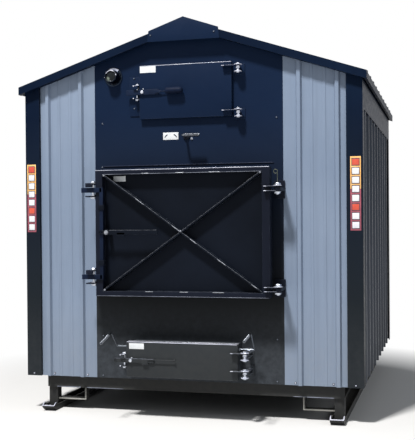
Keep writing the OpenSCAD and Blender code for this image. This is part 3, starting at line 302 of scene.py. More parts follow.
def disc(shape, radius, low, high, centre, axis="z", sides=28, paint=0):
    """A washer or a plain pin, between two distances along its axis."""
    turned(shape, [(0, low), (radius, low), (radius, high), (0, high)], centre, axis, sides, paint=paint)


def hex_bolt(shape, centre, axis, radius, height, sign=1, paint=0, start=0.0):
    """A chamfered hexagon head or nut on its washer, standing on a face."""
    foot, tip = 1.6 * sign, (1.6 + height) * sign
    disc(shape, radius * 1.22, 0, foot, centre, axis, 32, paint)
    turned(shape, [(0, foot), (radius, foot), (radius, foot + sign * height * 0.78), (radius * 0.86, tip),
                   (0, tip)], centre, axis, 6, paint=paint, start=start)


def fitted(name, shape, finishes, body, stands_for=(), crease=32):
    """Moves a finished piece from the drawing to its place, and bolts it to the body it rides on."""
    bmesh.ops.recalc_face_normals(shape, faces=shape.faces)
    shape.transform(DRAWING)
    mesh = bpy.data.meshes.new(name)
    shape.to_mesh(mesh)
    shape.free()
    mesh.polygons.foreach_set("use_smooth", [True] * len(mesh.polygons))
    mesh.set_sharp_from_angle(angle=math.radians(crease))
    piece = bpy.data.objects.new(name, mesh)
    for finish in finishes:
        mesh.materials.append(finish)
    bpy.context.scene.collection.objects.link(piece)
    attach(piece, body)
    if stands_for:
        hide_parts(*stands_for)


zinc = skin("zinc_plate", (176, 182, 194), (228, 232, 242), rough=0.3, metal=1.0, gloss=0.5, patch=60,
            rub=(232, 232, 228), rub_share=0.5, grain=0.00005, ease=0.0006)
toe_bolts = bmesh.new()
for side in (-1, 1):
    for along in (20, 100):
        hex_bolt(toe_bolts, (side * 946, along, 5), "z", 9, 9, start=15)
        turned(toe_bolts, [(0, 0), (5, 0), (5, 20), (4, 22), (0, 22)], (side * 946, along, 5), "z", 16)
fitted("toe_bolts", toe_bolts, [zinc], "boiler")
# Thin strips on the fork straps' fronts and edges, on the runners' noses and along the base's lower front
# edge are painted highlights.
painted_strap_highlight = strip_skin("painted_strap_highlight", (104, 104, 98), (168, 168, 164), rough=0.45, metal=0.2, gloss=0.3,
                       patch=9)
nose_turn = Matrix.Rotation(math.radians(28), 4, "X")
highlight_strips = bmesh.new()
HIGHLIGHT_STRIPS = (((706, 900), (59.2, 60), (61, 69), 0.3, None, 0), ((706, 713), (59.2, 60), (69, 145), 0.3,
                                                                  None, 0),
               ((733, 896), (29.4, 30), (144, 150), 0.3, None, 1), ((881, 964), (-56, -49), (33, 38.4), 0.8,
                                                                    None, 2),
               ((880, 886), (-57, -19), (43.6, 45), 0.4, nose_turn, 2), ((959, 965), (-57, -19), (43.6, 45),
                                                                         0.4, nose_turn, 2))
for side in (-1, 1):
    for x, *rest in HIGHLIGHT_STRIPS:
        block(highlight_strips, sorted(side * a for a in x), *rest)
for x0, x1 in ((-690, -440), (650, 728)):
    block(highlight_strips, (x0, x1), (29.4, 30), (145, 149), 0.3, paint=1)
fitted("strap_highlight_strips", highlight_strips, [painted_strap_highlight, painted_faint_highlight, painted_highlight], "boiler")

# ---- Water jacket, firebox and smoke passages ----
# Welded boiler plate: the water jacket, the firebox with its bricks, cast grate and ash pan, the flue
# tubes, the smoke box and the clean-out box. Smoke leaves the fire side dull black and ash grey.
dress(skin("jacket_plate", (66, 70, 76), (92, 95, 99), rough=0.55, metal=0.6, patch=3, rub=(150, 150, 148),
           grain=0.0002), "water_jacket")
dress(skin("sooty_plate", (24, 22, 21), (52, 49, 46), rough=0.85, patch=7, gloss=0.15, dust_and_sheen=(120, 114, 106),
           top_dust_and_sheen=0.8, grain=0.0008, grain_size=140, rub=(88, 66, 50)), "firebox", "smoke_box", "cleanout_box")
dress(skin("cast_iron", (40, 38, 37), (68, 64, 60), rough=0.8, patch=12, gloss=0.2, dust_and_sheen=(150, 145, 138),
           top_dust_and_sheen=0.7, grain=0.001, grain_size=200, rub=(110, 88, 70)), "grate", "ash_pan")
dress(skin("tube_steel", (84, 86, 90), (120, 118, 116), rough=0.5, metal=0.8, patch=9, streak=0.3),
      "flue_tubes")
dress(skin("firebrick", (176, 150, 112), (206, 184, 148), rough=0.92, patch=8, gloss=0.12, grain=0.0016,
           grain_size=90, rub=(120, 100, 82), rub_share=0.8, ease=0.003), "firebrick")

# ---- Insulation and wall frame ----
# Foam is sprayed round the jacket in place and sets cream-yellow with a rough skin. The walls hang on a
# frame of welded square tube, galvanized after welding.
dress(skin("foam", (206, 188, 138), (226, 212, 168), rough=0.95, patch=6, gloss=0.1, grain=0.004,
           grain_size=40, rub=(190, 160, 110), ease=0.004), "insulation")
dress(skin("frame_tube", (146, 150, 154), (176, 180, 184), rough=0.4, metal=0.9, patch=16, streak=0.2),
      "wall_frame")

# ---- Siding and front panel ----
# Pre-painted ribbed sheet: light grey beside the doors, charcoal round the sides and the back, and a
# smooth black panel behind the doors. It is screwed to the frame, and rain leaves faint streaks.
# The charcoal sheet turns lighter below 1.9 m towards its foot tone: painted light.
charcoal_sheet = skin("charcoal_sheet", (46, 53, 65), (56, 63, 75), rough=0.4, gloss=0.2, patch=0.9,
                      streak=0.3, wave=0.004, foot_dust=0.35, dust_and_sheen=(104, 106, 106), rub=(120, 126, 134),
                      rub_share=0.3, grain=0.00006, foot=(72, 77, 87))
dress(skin("grey_sheet", (112, 127, 149), (125, 139, 160), rough=0.38, gloss=0.35, patch=0.9, streak=0.22,
           wave=0.004, foot_dust=0.3, dust_and_sheen=(140, 142, 142), rub=(190, 196, 206), rub_share=0.3,
           grain=0.00006), "front_siding_left", "front_siding_right")
dress(charcoal_sheet, "side_siding_left", "side_siding_right", "rear_siding")
dress(black_coat, "front_panel")
# A thin bead above the fire door, in a tone lighter than the panel's coat: a painted highlight along it.
drip_bead = bmesh.new()
block(drip_bead, (-546, 546), (-6, -0.3), (1561, 1565), 1.2)
fitted("drip_bead", drip_bead, [skin("drip_bead", (26, 34, 54), (52, 60, 82), rough=0.4, gloss=0.2, patch=5,
                                     rub=(90, 98, 116))], "boiler")

# ---- Corner posts, roof and trims ----
# Folded black trims close the corners, the gable and the eaves. The roof is ribbed sheet on each
# slope under a folded ridge cap.
# The trims' blue tone is painted sky reflection; below 1.9 m it fades to the plain dark foot tone.
trim_coat = skin("trim_coat", (9, 19, 37), (16, 29, 49), rough=0.42, gloss=0.03, patch=1.1, foot_dust=0.5,
                 dust_and_sheen=(66, 68, 70), rub=(122, 130, 144), rub_share=0.5, streak=0.2, wave=0.003, top_dust_and_sheen=0.3,
                 foot=(30, 35, 40))
dress(trim_coat, "corner_posts", "rake_trims", "eave_trims")
dress(skin("roof_coat", (34, 40, 52), (46, 52, 64), rough=0.42, gloss=0.3, patch=0.8, streak=0.3, wave=0.004,
           top_dust_and_sheen=0.5, dust_and_sheen=(120, 122, 120), rub=(120, 126, 134)), "roof_panel_left", "roof_panel_right",
      "ridge_cap")

# ---- Reflective tape ----
# A strip of glass-bead sheeting is stuck on each corner post: orange above, wine red below, with a
# row of plain pale and red blocks along it.


def bead_tape(name, deep, light):
    """Reflective sheeting: glass beads in cells under a clear, slightly faded face."""
    tape = strip_skin(name, deep, light, 0.0004, 0.00003, rough=0.32, gloss=0.45, patch=26)
    tree = tape.node_tree
    cells = shader(tree, "TexVoronoi", {"Vector": shader(tree, "TexCoord").outputs["Object"], "Scale": 240})
    surface = tree.nodes["Principled BSDF"]
    under = surface.inputs["Normal"].links[0].from_socket
    beads = shader(tree, "Bump", {"Height": cells.outputs["Distance"], "Normal": under, "Strength": 0.4,
                                  "Distance": 0.0004})
    tree.links.new(beads.outputs["Normal"], surface.inputs["Normal"])
    return tape


tapes = [bead_tape("tape_orange", (224, 164, 92), (240, 196, 128)),
         bead_tape("tape_wine", (134, 66, 82), (162, 84, 96)),
         bead_tape("tape_red", (190, 66, 52), (212, 92, 70)),
         bead_tape("tape_pale", (206, 208, 216), (232, 233, 238)),
         bead_tape("tape_dark", (56, 44, 56), (80, 64, 76))]
TAPE_LOW, TAPE_JOINT, TAPE_HIGH, BLOCK_STEP = 1149, 1393, 1585, 53
bands = bmesh.new()
for x0, x1 in ((-1070, -1010), (1006, 1068)):
    block(bands, (x0, x1), (-20.6, -20.1), (TAPE_JOINT + 1, TAPE_HIGH), 0.2)
    block(bands, (x0, x1), (-20.6, -20.1), (TAPE_LOW, TAPE_JOINT), 0.2, paint=1)
    for k, paint in enumerate((3, 3, 2, 3, 3, 3, 3, 2)):
        low = TAPE_LOW + 9 + BLOCK_STEP * k
        block(bands, (x0 + 7, x1 - 7), (-20.8, -20.5), (low, low + 46), 0.1, paint=4)
        block(bands, (x0 + 11, x1 - 11), (-21, -20.7), (low + 5, low + 41), 0.1, paint=paint)
fitted("reflective_bands", bands, tapes, "boiler")

# ---- Gable plate and small plates ----
# Thin plates of enamelled sheet. A black five-sided one is screwed over the gable trims; a small white
# one is riveted beside the damper handle and carries two curved bars.


def plate_from(shape, outline, axis, low, high, edge=0.8, paint=0):
    """A plate cut to an outline: two coordinates in order, and its thickness along the third axis."""
    known = set(shape.faces)
    near, far = [[shape.verts.new({"x": (w, u, v), "y": (u, w, v), "z": (u, v, w)}[axis]) for u, v in outline]
                 for w in (low, high)]
    shape.faces.new(near)
    shape.faces.new(list(reversed(far)))
    for k in range(len(outline)):
        n = (k + 1) % len(outline)
        shape.faces.new((near[k], far[k], far[n], near[n]))
    if edge:
        rims = [e for e in {e for v in near + far for e in v.link_edges}
                if (e.verts[0] in near) == (e.verts[1] in near)]
        bmesh.ops.bevel(shape, geom=rims, affect="EDGES", offset=edge, segments=2, profile=0.6)
    painted(shape, known, paint)


def arc(centre, radius, start, end, count=12):
    """Points on an arc, in degrees."""
    angles = [math.radians(start + (end - start) * k / count) for k in range(count + 1)]
    return [(centre[0] + radius * math.cos(a), centre[1] + radius * math.sin(a)) for a in angles]


plate_white = skin("plate_white", (206, 210, 214), (224, 227, 230), rough=0.4, gloss=0.4, patch=22,
                   rub=(150, 150, 150), rub_share=0.4, ease=0.0008, streak=0.25)
DAMPER_DIAL = (-101.5, 1713)
gable = bmesh.new()
plate_from(gable, [(-230, 2320), (230, 2320), (222, 2388), (0, 2465), (-222, 2388)], "y", -63.3, -60.3, 1.0)
plate_from(gable, [(-151, 1719), (-52, 1719), (-52, 1764), (-151, 1764)], "y", -1.3, -0.3, 0.3, paint=1)
for way in (-1, 1):
    near, far = 90 + way * 28, 90 + way * 62
    sweep = arc(DAMPER_DIAL, 46, near, far, 8) + arc(DAMPER_DIAL, 40, far, near, 8)
    plate_from(gable, [(x, min(z, 1762)) for x, z in sweep], "y", -1.7, -1.2, 0.1)
fitted("plates", gable, [black_coat, plate_white, zinc], "boiler", ["plates"])

# ---- Flue collar and vent ----
# A rolled and welded steel collar with a stop ring takes the flue pipe, and a capped tube vents the
# water jacket. Both are galvanized, and rain draws streaks down them.
dress(skin("pipe_steel", (122, 126, 132), (150, 154, 158), rough=0.4, metal=0.85, patch=8, streak=0.4),
      "roof_pipes")

# ---- Door necks ----
# Sleeves of heavy plate, welded to the firebox, carry the fire door and the ash door clear of the front
# panel. They have the panel's black powder coat.
dress(black_coat, "fire_neck", "ash_frame")

# ---- Fire door ----
# A frame of heavy bar welded round a recessed plate, stiffened by two flat bars on edge that cross
# corner to corner. Two pairs of strap ears on the right carry it on its hinge pins.


def frame_of_bar(shape, outer, inner, low, high, edge, paint=0):
    """A rectangular frame without joints: outer and inner are (x0, x1, z0, z1)."""
    known = set(shape.faces)
    loops = []
    for w in (low, high):
        for x0, x1, z0, z1 in (outer, inner):
            loops.append([shape.verts.new((x, w, z)) for x, z in ((x0, z0), (x1, z0), (x1, z1), (x0, z1))])
    front_out, front_in, back_out, back_in = loops
    for k in range(4):
        n = (k + 1) % 4
        for a, b in ((front_out, front_in), (back_in, back_out), (back_out, front_out), (front_in, back_in)):
            shape.faces.new((a[k], a[n], b[n], b[k]))
    bmesh.ops.recalc_face_normals(shape, faces=shape.faces)
    edges = {e for loop in loops for v in loop for e in v.link_edges}
    sharp = [e for e in edges if e.calc_face_angle(0) > 0.5]
    bmesh.ops.bevel(shape, geom=sharp, affect="EDGES", offset=edge, segments=3, profile=0.6)
    painted(shape, known, paint)


def ring_about(shape, middle, radius, side, other, count):
    """A ring of points about a middle, in the plane of two directions."""
    angles = [q * math.tau / count for q in range(count)]
    return [shape.verts.new(middle + radius * (math.cos(a) * side + math.sin(a) * other)) for a in angles]


def tube_skin(shape, rings):
    """Joins rings of points, one after another, into a tube with open ends."""
    for low, high in zip(rings, rings[1:]):
        for k in range(len(low)):
            n = (k + 1) % len(low)
            shape.faces.new((low[k], low[n], high[n], high[k]))


def weld_bead(shape, a, b, radius, paint=0):
    """A bead laid by hand: overlapping scales between two points."""
    a, b = Vector(a), Vector(b)
    along = (b - a).normalized()
    side = along.orthogonal().normalized()
    other = along.cross(side)
    known = set(shape.faces)
    rings = []
    count = max(8, int((b - a).length / 1.1))
    for k in range(count + 1):
        t = k / count
        swell = radius * (0.72 + 0.28 * abs(math.sin(k * 0.9))) * random.uniform(0.93, 1.07)
        swell *= min(1, 0.35 + 6 * min(t, 1 - t))
        middle = a.lerp(b, t)
        rings.append(ring_about(shape, middle, swell, side, other, 8))
    tube_skin(shape, rings)
    shape.faces.new(rings[0])
    shape.faces.new(list(reversed(rings[-1])))
    painted(shape, known, paint)


random.seed(7)
FIRE_HALF, FIRE_LOW, FIRE_HIGH = 548, 752, 1531
RECESS_HALF, RECESS_LOW, RECESS_HIGH = 502, 784, 1504
FIRE_FACE = -150
FIRE_PIN = (597, -155)
LOCK_PIVOT = (-468, 0, 1146)
FIRE_STRAPS = ((1407, 1415), (1380, 1388), (813, 821), (788, 796))
weld_steel = skin("weld_steel", (110, 114, 124), (172, 176, 184), rough=0.42, metal=0.6, patch=90,
                  grain=0.0003, ease=0.0005)
# The recess plate, braces, ears, lever tabs and lock lever take a darker copy of the door's coat, as painted
# shade; the rim, lugs, keepers and damper bushing take a lighter, bluer copy for their lit faces.
shaded_door_coat = skin("shaded_door_coat", (12, 16, 24), (18, 23, 33), rough=0.42, gloss=0.05, foot_dust=0.2,
                 dust_and_sheen=(44, 46, 48), rub=(120, 128, 144), rub_share=0.5, wave=0.008, top_dust_and_sheen=0.3, patch=1.6)
rim_coat = skin("rim_coat", (15, 19, 30), (22, 27, 40), rough=0.4, gloss=0.08, foot_dust=0.2,
                dust_and_sheen=(50, 52, 54), rub=(120, 128, 144), rub_share=0.6, wave=0.006, top_dust_and_sheen=0.4, patch=1.6)
# A speckled light skin for thin strips: painted highlights on the brace crests and the lock lever's top edge.
painted_speckled_highlight = strip_skin("painted_speckled_highlight", (34, 38, 46), (140, 144, 152), 0.0006, 0.0003, rough=0.45, gloss=0.2,
                         patch=34)
door = bmesh.new()
frame_of_bar(door, (-FIRE_HALF, FIRE_HALF, FIRE_LOW, FIRE_HIGH),
             (-RECESS_HALF, RECESS_HALF, RECESS_LOW, RECESS_HIGH), FIRE_FACE, FIRE_FACE + 75, 3.5, paint=3)
# Strips along the rim's top front edge and along its inner top and bottom edges: painted highlights.
block(door, (-546, 546), (FIRE_FACE - 0.8, FIRE_FACE + 3), (1527.8, FIRE_HIGH), 1.2, paint=4)
block(door, (-499, 499), (FIRE_FACE - 0.6, FIRE_FACE + 2), (1502.6, 1505.2), 0.8, paint=5)
block(door, (-542, 542), (FIRE_FACE - 0.6, FIRE_FACE + 2), (753.5, 756), 0.8, paint=5)
block(door, (-RECESS_HALF - 1, RECESS_HALF + 1), (-98, -92), (RECESS_LOW - 1, RECESS_HIGH + 1), 0)
lean = math.atan((RECESS_HIGH - RECESS_LOW) / (2 * RECESS_HALF))
brace_half = RECESS_HALF / math.cos(lean) + 6
middle_z = (RECESS_LOW + RECESS_HIGH) / 2
for way in (1, -1):
    tilt = Matrix.Rotation(way * lean, 4, "Y")
    block(door, (-brace_half, brace_half), (-148, -97), (middle_z - 5, middle_z + 5), 1.6, tilt)
    # Strips along the braces' crests: painted highlights.
    crest = tilt @ Vector((0, 0, 4.55))
    block(door, (crest.x - brace_half + 16, crest.x + brace_half - 16), (-148.7, -145),
          (middle_z + crest.z - 0.55, middle_z + crest.z + 0.55), 0.3, tilt, 6)
turned(door, [(0, -98), (16, -98), (12, -104), (12, -165), (8, -165), (8, -177), (0, -177)], LOCK_PIVOT, "y")
hex_bolt(door, (LOCK_PIVOT[0], -176.4, LOCK_PIVOT[2]), "y", 11, 7, sign=-1, paint=1)
for z in (1300, 960):
    for x in ((-523.5, -516.5), (-492.5, -485.5)):
        block(door, x, (-165.5, -150), (z - 15, z + 15), 1)
    block(door, (-523.5, -485.5), (-171, -165), (z - 15, z + 15), 1.5)
for low, high in FIRE_STRAPS:
    ear = [(517, -176)] + arc(FIRE_PIN, 21, -90, 90) + [(549, -134), (549, -150), (517, -150)]
    plate_from(door, ear, "z", low, high, 1)
    # Two strips on each ear's front top edge: painted highlights.
    block(door, (516.5, 534), (-176.6, -173), (high - 3.4, high + 0.2), 0.8, paint=4)
    block(door, (534, 590), (-176.5, -174.5), (high - 1.8, high + 0.2), 0.5, paint=5)
for x0, x1 in ((-247, -196), (-30, 26), (176, 250)):
    for shift, z in ((0, RECESS_HIGH + 1), (20, RECESS_LOW - 0.5)):
        weld_bead(door, (x0 + shift, FIRE_FACE - 0.5, z), (x1 + shift, FIRE_FACE - 0.5, z), 2.6, 1)
for x0, z0, x1, z1 in ((-288, 1355, -230, 1313), (-52, 1185, -5, 1151), (60, 1104, 100, 1075),
                       (227, 984, 282, 945), (438, 833, 470, 810)):
    weld_bead(door, (x0, -148.5, z0), (x1, -148.5, z1), 2.4, 1)
for x, z in ((-492, 1497), (492, 1497), (-492, 791), (0, 1152)):
    turned(door, [(0, -4), (5, -2.5), (6.5, 0), (0, 2)], (x, -148, z), "y", 14, paint=1)
block(door, (-446, -366), (-99.2, -97.9), (1460, 1494), 0.4, paint=2)
fitted("fire_door_panel", door, [shaded_door_coat, weld_steel, plate_white, rim_coat, painted_highlight, painted_faint_highlight,
                                 painted_speckled_highlight], "fire_door", ["fire_door"])
board = skin("ceramic_board", (172, 166, 152), (190, 184, 170), rough=0.95, patch=5, gloss=0.1, grain=0.001,
             rub=(90, 84, 78), rub_share=0.7, ease=0.003)
dress(skin("rope_seal", (196, 190, 174), (216, 212, 198), rough=0.95, patch=30, gloss=0.1, grain=0.003,
           grain_size=120, rub=(120, 112, 100), ease=0.004), "fire_door_gasket")
dress(board, "fire_door_liner")

# ---- Hinge lugs and hinge pins ----
# Thick lugs on wall plates take the pins between the fire door's ears. All pins are zinc-plated bolts
# with nuts and washers; a lynch pin's wire ring hangs over the top one.


def tube_along(shape, points, radius, sides, paint=0):
    """A tube through many points, closed at its ends."""
    known = set(shape.faces)
    side = (points[1] - points[0]).orthogonal().normalized()
    rings = []
    for k, point in enumerate(points):
        ahead = (points[min(k + 1, len(points) - 1)] - points[max(k - 1, 0)]).normalized()
        side = (side - ahead * side.dot(ahead)).normalized()
        other = ahead.cross(side)
        rings.append(ring_about(shape, point, radius, side, other, sides))
    tube_skin(shape, rings)
    for ring, end, before in ((rings[0], points[0], points[1]), (rings[-1], points[-1], points[-2])):
        tip = shape.verts.new(end + (end - before).normalized() * radius * 0.45)
        for q in range(sides):
            shape.faces.new((ring[q], ring[(q + 1) % sides], tip))
    painted(shape, known, paint)


lugs = bmesh.new()
for upper, lower in (FIRE_STRAPS[:2], FIRE_STRAPS[2:]):
    low, high = lower[1] + 0.3, upper[0] - 0.3
    knuckle = arc(FIRE_PIN, 18, 180, 360) + [(FIRE_PIN[0] + 18, -0.3), (FIRE_PIN[0] - 18, -0.3)]
    plate_from(lugs, knuckle, "z", low, high, 1.5)
    block(lugs, (552, 615), (-12, -0.3), (low - 45, high + 45), 2)
    weld_bead(lugs, (578.5, -13, low), (578.5, -13, high), 3)
fitted("fire_hinge_lugs_plate", lugs, [rim_coat], "boiler", ["fire_hinge_lugs"])
wire_olive = skin("wire_olive", (66, 70, 60), (98, 102, 90), rough=0.5, metal=0.6, patch=60, ease=0.0005)
pins = bmesh.new()
for upper, lower in (FIRE_STRAPS[:2], FIRE_STRAPS[2:]):
    top = upper[1] - lower[0]
    turned(pins, [(0, -16), (7.5, -16), (9, -14), (9, top + 17), (7, top + 20), (0, top + 21)],
           (*FIRE_PIN, lower[0]), "z", 24)
    # Washers under the nuts take the light skin: their bare zinc, brightened by painted highlight.
    disc(pins, 27, 0, 2.6, (*FIRE_PIN, upper[1] + 0.3), sides=32, paint=2)
    hex_bolt(pins, (*FIRE_PIN, upper[1] + 2.9), "z", 19, 13, start=8)
    hex_bolt(pins, (*FIRE_PIN, lower[0] - 0.3), "z", 18, 10, sign=-1, start=22)
wire = [Vector((*FIRE_PIN, 1434 + 6 * k)) for k in range(11)]
wire += [Vector((FIRE_PIN[0] - 11 + 11 * math.cos(a), FIRE_PIN[1], 1500 + 12 * math.sin(a)))
         for a in (math.tau * k / 24 for k in range(22))]
tube_along(pins, wire, 1.9, 8, 1)
CLEAN_PIN, CLEAN_STRAPS = (340, -45), (2154, 1884)
ASH_PIN, ASH_STRAPS = (397, -170), (428, 322)
SMALL_HINGES = ((CLEAN_PIN, CLEAN_STRAPS), (ASH_PIN, ASH_STRAPS))
for place, straps in SMALL_HINGES:
    for top in straps:
        turned(pins, [(0, top - 46), (5, top - 46), (6, top - 44.5), (6, top + 3), (5, top + 4),
                      (0, top + 4)], (*place, 0), "z", 20)
        disc(pins, 25, 0, 3, (*place, top + 0.3), paint=2)
        hex_bolt(pins, (*place, top + 3.3), "z", 15, 7, start=7)
        disc(pins, 24, 0, -3, (*place, top - 38.3), paint=2)
        hex_bolt(pins, (*place, top - 41.3), "z", 15, 6, sign=-1, start=12)
        hex_bolt(pins, (*place, top - 15.2), "z", 12, 5, sign=-1, start=32)
fitted("hinge_pins_plated", pins, [zinc, wire_olive, painted_highlight], "boiler", ["hinge_pins"])

# ---- Lock: keepers, bar and lever ----
# Two tongues on an upright bar lift behind the keepers' lips when the lever is pressed down. Bar and lever
# are black flat steel: the bar has worn edges, a navy tone and lighter upward faces that are painted sky
# reflection and sheen; the lever takes the darker, shaded copy of the door coat, and a strip along its top
# edge is a painted highlight.
# The bar's navy tone is painted sky reflection, and its upward faces take a painted sheen.
worn_steel = skin("worn_steel", (13, 22, 40), (22, 33, 55), rough=0.42, gloss=0.08, patch=9,
                  rub=(96, 106, 126), rub_share=0.5, ease=0.0014, top_dust_and_sheen=0.4, dust_and_sheen=(70, 80, 100))
KEEPERS = (1393, 856)
KEEPER_BOLT = (-565, -140)
keepers = bmesh.new()
for z in KEEPERS:
    top = z + 50
    block(keepers, (-606, -554), (-8, -0.3), (z - 40, top + 20), 2)
    for y, zs in (((-186, -8), (top, top + 8)), ((-186, -8), (z - 28, z - 20)),
                  ((-186, -178), (z + 32, top + 1))):
        block(keepers, (-600, -554), y, zs, 2)
    weld_bead(keepers, (-598, -9, top + 9), (-556, -9, top + 9), 3)
fitted("keeper_brackets", keepers, [rim_coat], "boiler", ["fire_keepers"])
bolts = bmesh.new()
for z in KEEPERS:
    turned(bolts, [(0, z - 32), (6.8, z - 32), (8, z - 30.5), (8, z + 60), (6.8, z + 61), (0, z + 61)],
           (*KEEPER_BOLT, 0), "z", 24)
    for far, way in ((z + 58, 1), (z - 28.2, -1)):
        disc(bolts, 21, 0, way * 2.2, (*KEEPER_BOLT, far))
    hex_bolt(bolts, (*KEEPER_BOLT, z + 58), "z", 16, 10, start=10)
    hex_bolt(bolts, (*KEEPER_BOLT, z - 19.8), "z", 14, 7, start=15)
    hex_bolt(bolts, (*KEEPER_BOLT, z - 28.2), "z", 16, 10, sign=-1, start=25)
Latch = namedtuple("Latch", "x z high tail end bolt_x lugs face")
CLEAN_LATCH = Latch(x=-274, z=2016, high=33, tail=-379, end=-169, bolt_x=-311, lugs=(-330, -300), face=28)
ASH_LATCH = Latch(x=-320, z=362, high=25, tail=-427, end=-170, bolt_x=-363, lugs=(-385, -354), face=155)
for latch in (CLEAN_LATCH, ASH_LATCH):
    above, below = latch.z + latch.high / 2, latch.z - latch.high / 2
    turned(bolts, [(0, below - 30), (4, below - 30), (5, below - 28.5), (5, above + 28), (4, above + 29),
                   (0, above + 29)], (latch.bolt_x, 3 - latch.face, 0), "z", 20)
    hex_bolt(bolts, (latch.bolt_x, 3 - latch.face, above + 26.1), "z", 13, 9, start=20)
    hex_bolt(bolts, (latch.bolt_x, 3 - latch.face, below - 24.1), "z", 13, 9, sign=-1, start=5)
fitted("keeper_bolts_plated", bolts, [zinc], "boiler", ["keeper_bolts"])
BAR_DEPTH = (-164.5, -150.5)
bar = bmesh.new()
block(bar, (-516, -493), BAR_DEPTH, (KEEPERS[1], KEEPERS[0] + 30), 1.8)
for z in KEEPERS:
    block(bar, (-635, -500), BAR_DEPTH, (z, z + 30), 2.5)
turned(bar, [(0, -176.5), (3.4, -176.5), (4, -175.5), (4, -164), (0, -164)], (-503, 0, LOCK_PIVOT[2]), "y",
       16)
fitted("lock_bar_steel", bar, [worn_steel], "lock_bar", ["lock_bar"])
LEVER_DEPTH = (-176, -165.5)
lever = bmesh.new()
for x in ((-516.5, -511), (-495, -141)):
    block(lever, x, LEVER_DEPTH, (1132, 1160), 1.6)
for z in ((1132, 1141.2), (1150.8, 1160)):
    block(lever, (-512, -494), LEVER_DEPTH, z, 0.6)
block(lever, (-399, -347), LEVER_DEPTH, (1122, 1146), 1.4)
turned(lever, [(8.2, -165.5), (17, -165.5), (18, -166.5), (18, -175), (17, -176), (8.2, -176)],
       LOCK_PIVOT, "y", 40)
# A strip along the lever's top edge: painted highlight.
block(lever, (-450, -142), (-176.6, -173), (1159, 1160.4), 0.4, paint=1)
fitted("lock_lever_steel", lever, [shaded_door_coat, painted_speckled_highlight], "lock_lever", ["lock_lever"])

# ---- Clean-out door ----
# A shallow pan folded from sheet over a ceramic board, high on the panel. Two strap hinges carry it;
# a flat latch bar with a moulded black handle holds it on the left.


def folded_pan(shape, half, low, high, face, depth, sheet=3):
    """A door pan: face sheet with a soft fold, and a return on all four sides."""
    inside = (-half + sheet, half - sheet, low + sheet, high - sheet)
    frame_of_bar(shape, (-half, half, low, high), inside, -face, -face + depth, 1.2)
    block(shape, (-half + 1, half - 1), (-face, -face + sheet), (low + 1, high - 1), 1.0)


def door_strap(shape, x0, face, place, top):
    """A hinge strap: a flat bar that ends in a round eye."""
    eye = [(x0, place[1] - 13)] + arc(place, 13, -90, 90, 10) + [(place[0] - 8, -face), (x0, -face)]
    plate_from(shape, eye, "z", top - 6, top, 0.9)
    # Two strips along the strap's front top edge: painted highlights.
    block(shape, (x0 - 0.4, x0 + 15), (place[1] - 13.6, place[1] - 9), (top - 3.4, top + 0.2), 0.7, paint=3)
    block(shape, (x0 + 15, place[0] - 4), (place[1] - 13.4, place[1] - 11), (top - 1.6, top + 0.2), 0.5,
          paint=4)


def latch_post(shape, latch):
    """The pivot of a latch bar: a boss, the bar's post and a domed nut."""
    foot = (latch.x, -latch.face, latch.z)
    turned(shape, [(0, 0), (10, 0), (10, -4), (5, -4), (5, -16), (0, -16)], foot, "y", 24)
    turned(shape, [(0, -13), (11, -13), (11.5, -14), (9, -18.5), (5, -20), (0, -20)], foot, "y", 28, paint=1)


CLEAN_HALF, CLEAN_LOW, CLEAN_HIGH = 295, 1849, 2181
clean = bmesh.new()
folded_pan(clean, CLEAN_HALF, CLEAN_LOW, CLEAN_HIGH, CLEAN_LATCH.face, 26)
for top in CLEAN_STRAPS:
    door_strap(clean, 240, CLEAN_LATCH.face, CLEAN_PIN, top)
    weld_bead(clean, (243, -28.5, top + 1), (290, -28.5, top + 1), 2, 1)
latch_post(clean, CLEAN_LATCH)
# A strip along the pan's top fold: painted highlight.
block(clean, (2 - CLEAN_HALF, CLEAN_HALF - 2), (-28.7, -25), (CLEAN_HIGH - 2.6, CLEAN_HIGH), 0.8, paint=3)
block(clean, (4 - CLEAN_HALF, 107 - CLEAN_HALF), (-29.1, -27.9), (CLEAN_HIGH - 44, CLEAN_HIGH - 4), 0.4,
      paint=2)
fitted("clean_door_pan", clean, [black_coat, zinc, plate_white, painted_highlight, painted_faint_highlight], "clean_door",
       ["clean_door"])
dress(board, "clean_seal", "ash_seal")


def latch_bar(shape, latch):
    """The flat bar of a latch, rounded at its pivot."""
    half, face = latch.high / 2, -latch.face
    block(shape, (latch.tail, latch.end), (face - 12.3, face - 4.3), (latch.z - half, latch.z + half), 1.6)
    turned(shape, [(5.2, face - 4.3), (half + 2, face - 4.3), (half + 2, face - 12), (half + 1, face - 12.6),
                   (5.2, face - 12.6)], (latch.x, 0, latch.z), "y", 40)
    turned(shape, [(0, 0), (5, 0), (5, 3), (3, 4), (3, 6), (0, 6.6)],
           (latch.x + 6, face - 8, latch.z + half + 1.5), "z", 16, paint=2)


# The black handle's navy tone is painted sky reflection, and its upward faces take a painted sheen.
handle_black = skin("handle_black", (10, 18, 35), (18, 28, 50), rough=0.55, gloss=0.06, patch=40,
                    grain=0.0003, rub=(44, 54, 78), ease=0.001, top_dust_and_sheen=0.25, dust_and_sheen=(60, 70, 96))
clean_latch = bmesh.new()
latch_bar(clean_latch, CLEAN_LATCH)
block(clean_latch, (-189, -153), (-44, -40), (CLEAN_LATCH.z - 8, CLEAN_LATCH.z + 8), 1)
disc(clean_latch, 3, -160, -110, (0, -42, CLEAN_LATCH.z), "x", 16)
turned(clean_latch, [(0, -118), (12, -118), (17, -116), (20, -111), (21, -104), (21, -28), (20, -19),
                     (17, -12), (11, -7.5), (0, -6)], (0, -55, CLEAN_LATCH.z), "x", 36, paint=1)
fitted("clean_latch_bar", clean_latch, [worn_steel, handle_black, zinc], "clean_latch",
       ["clean_latch_lever"])

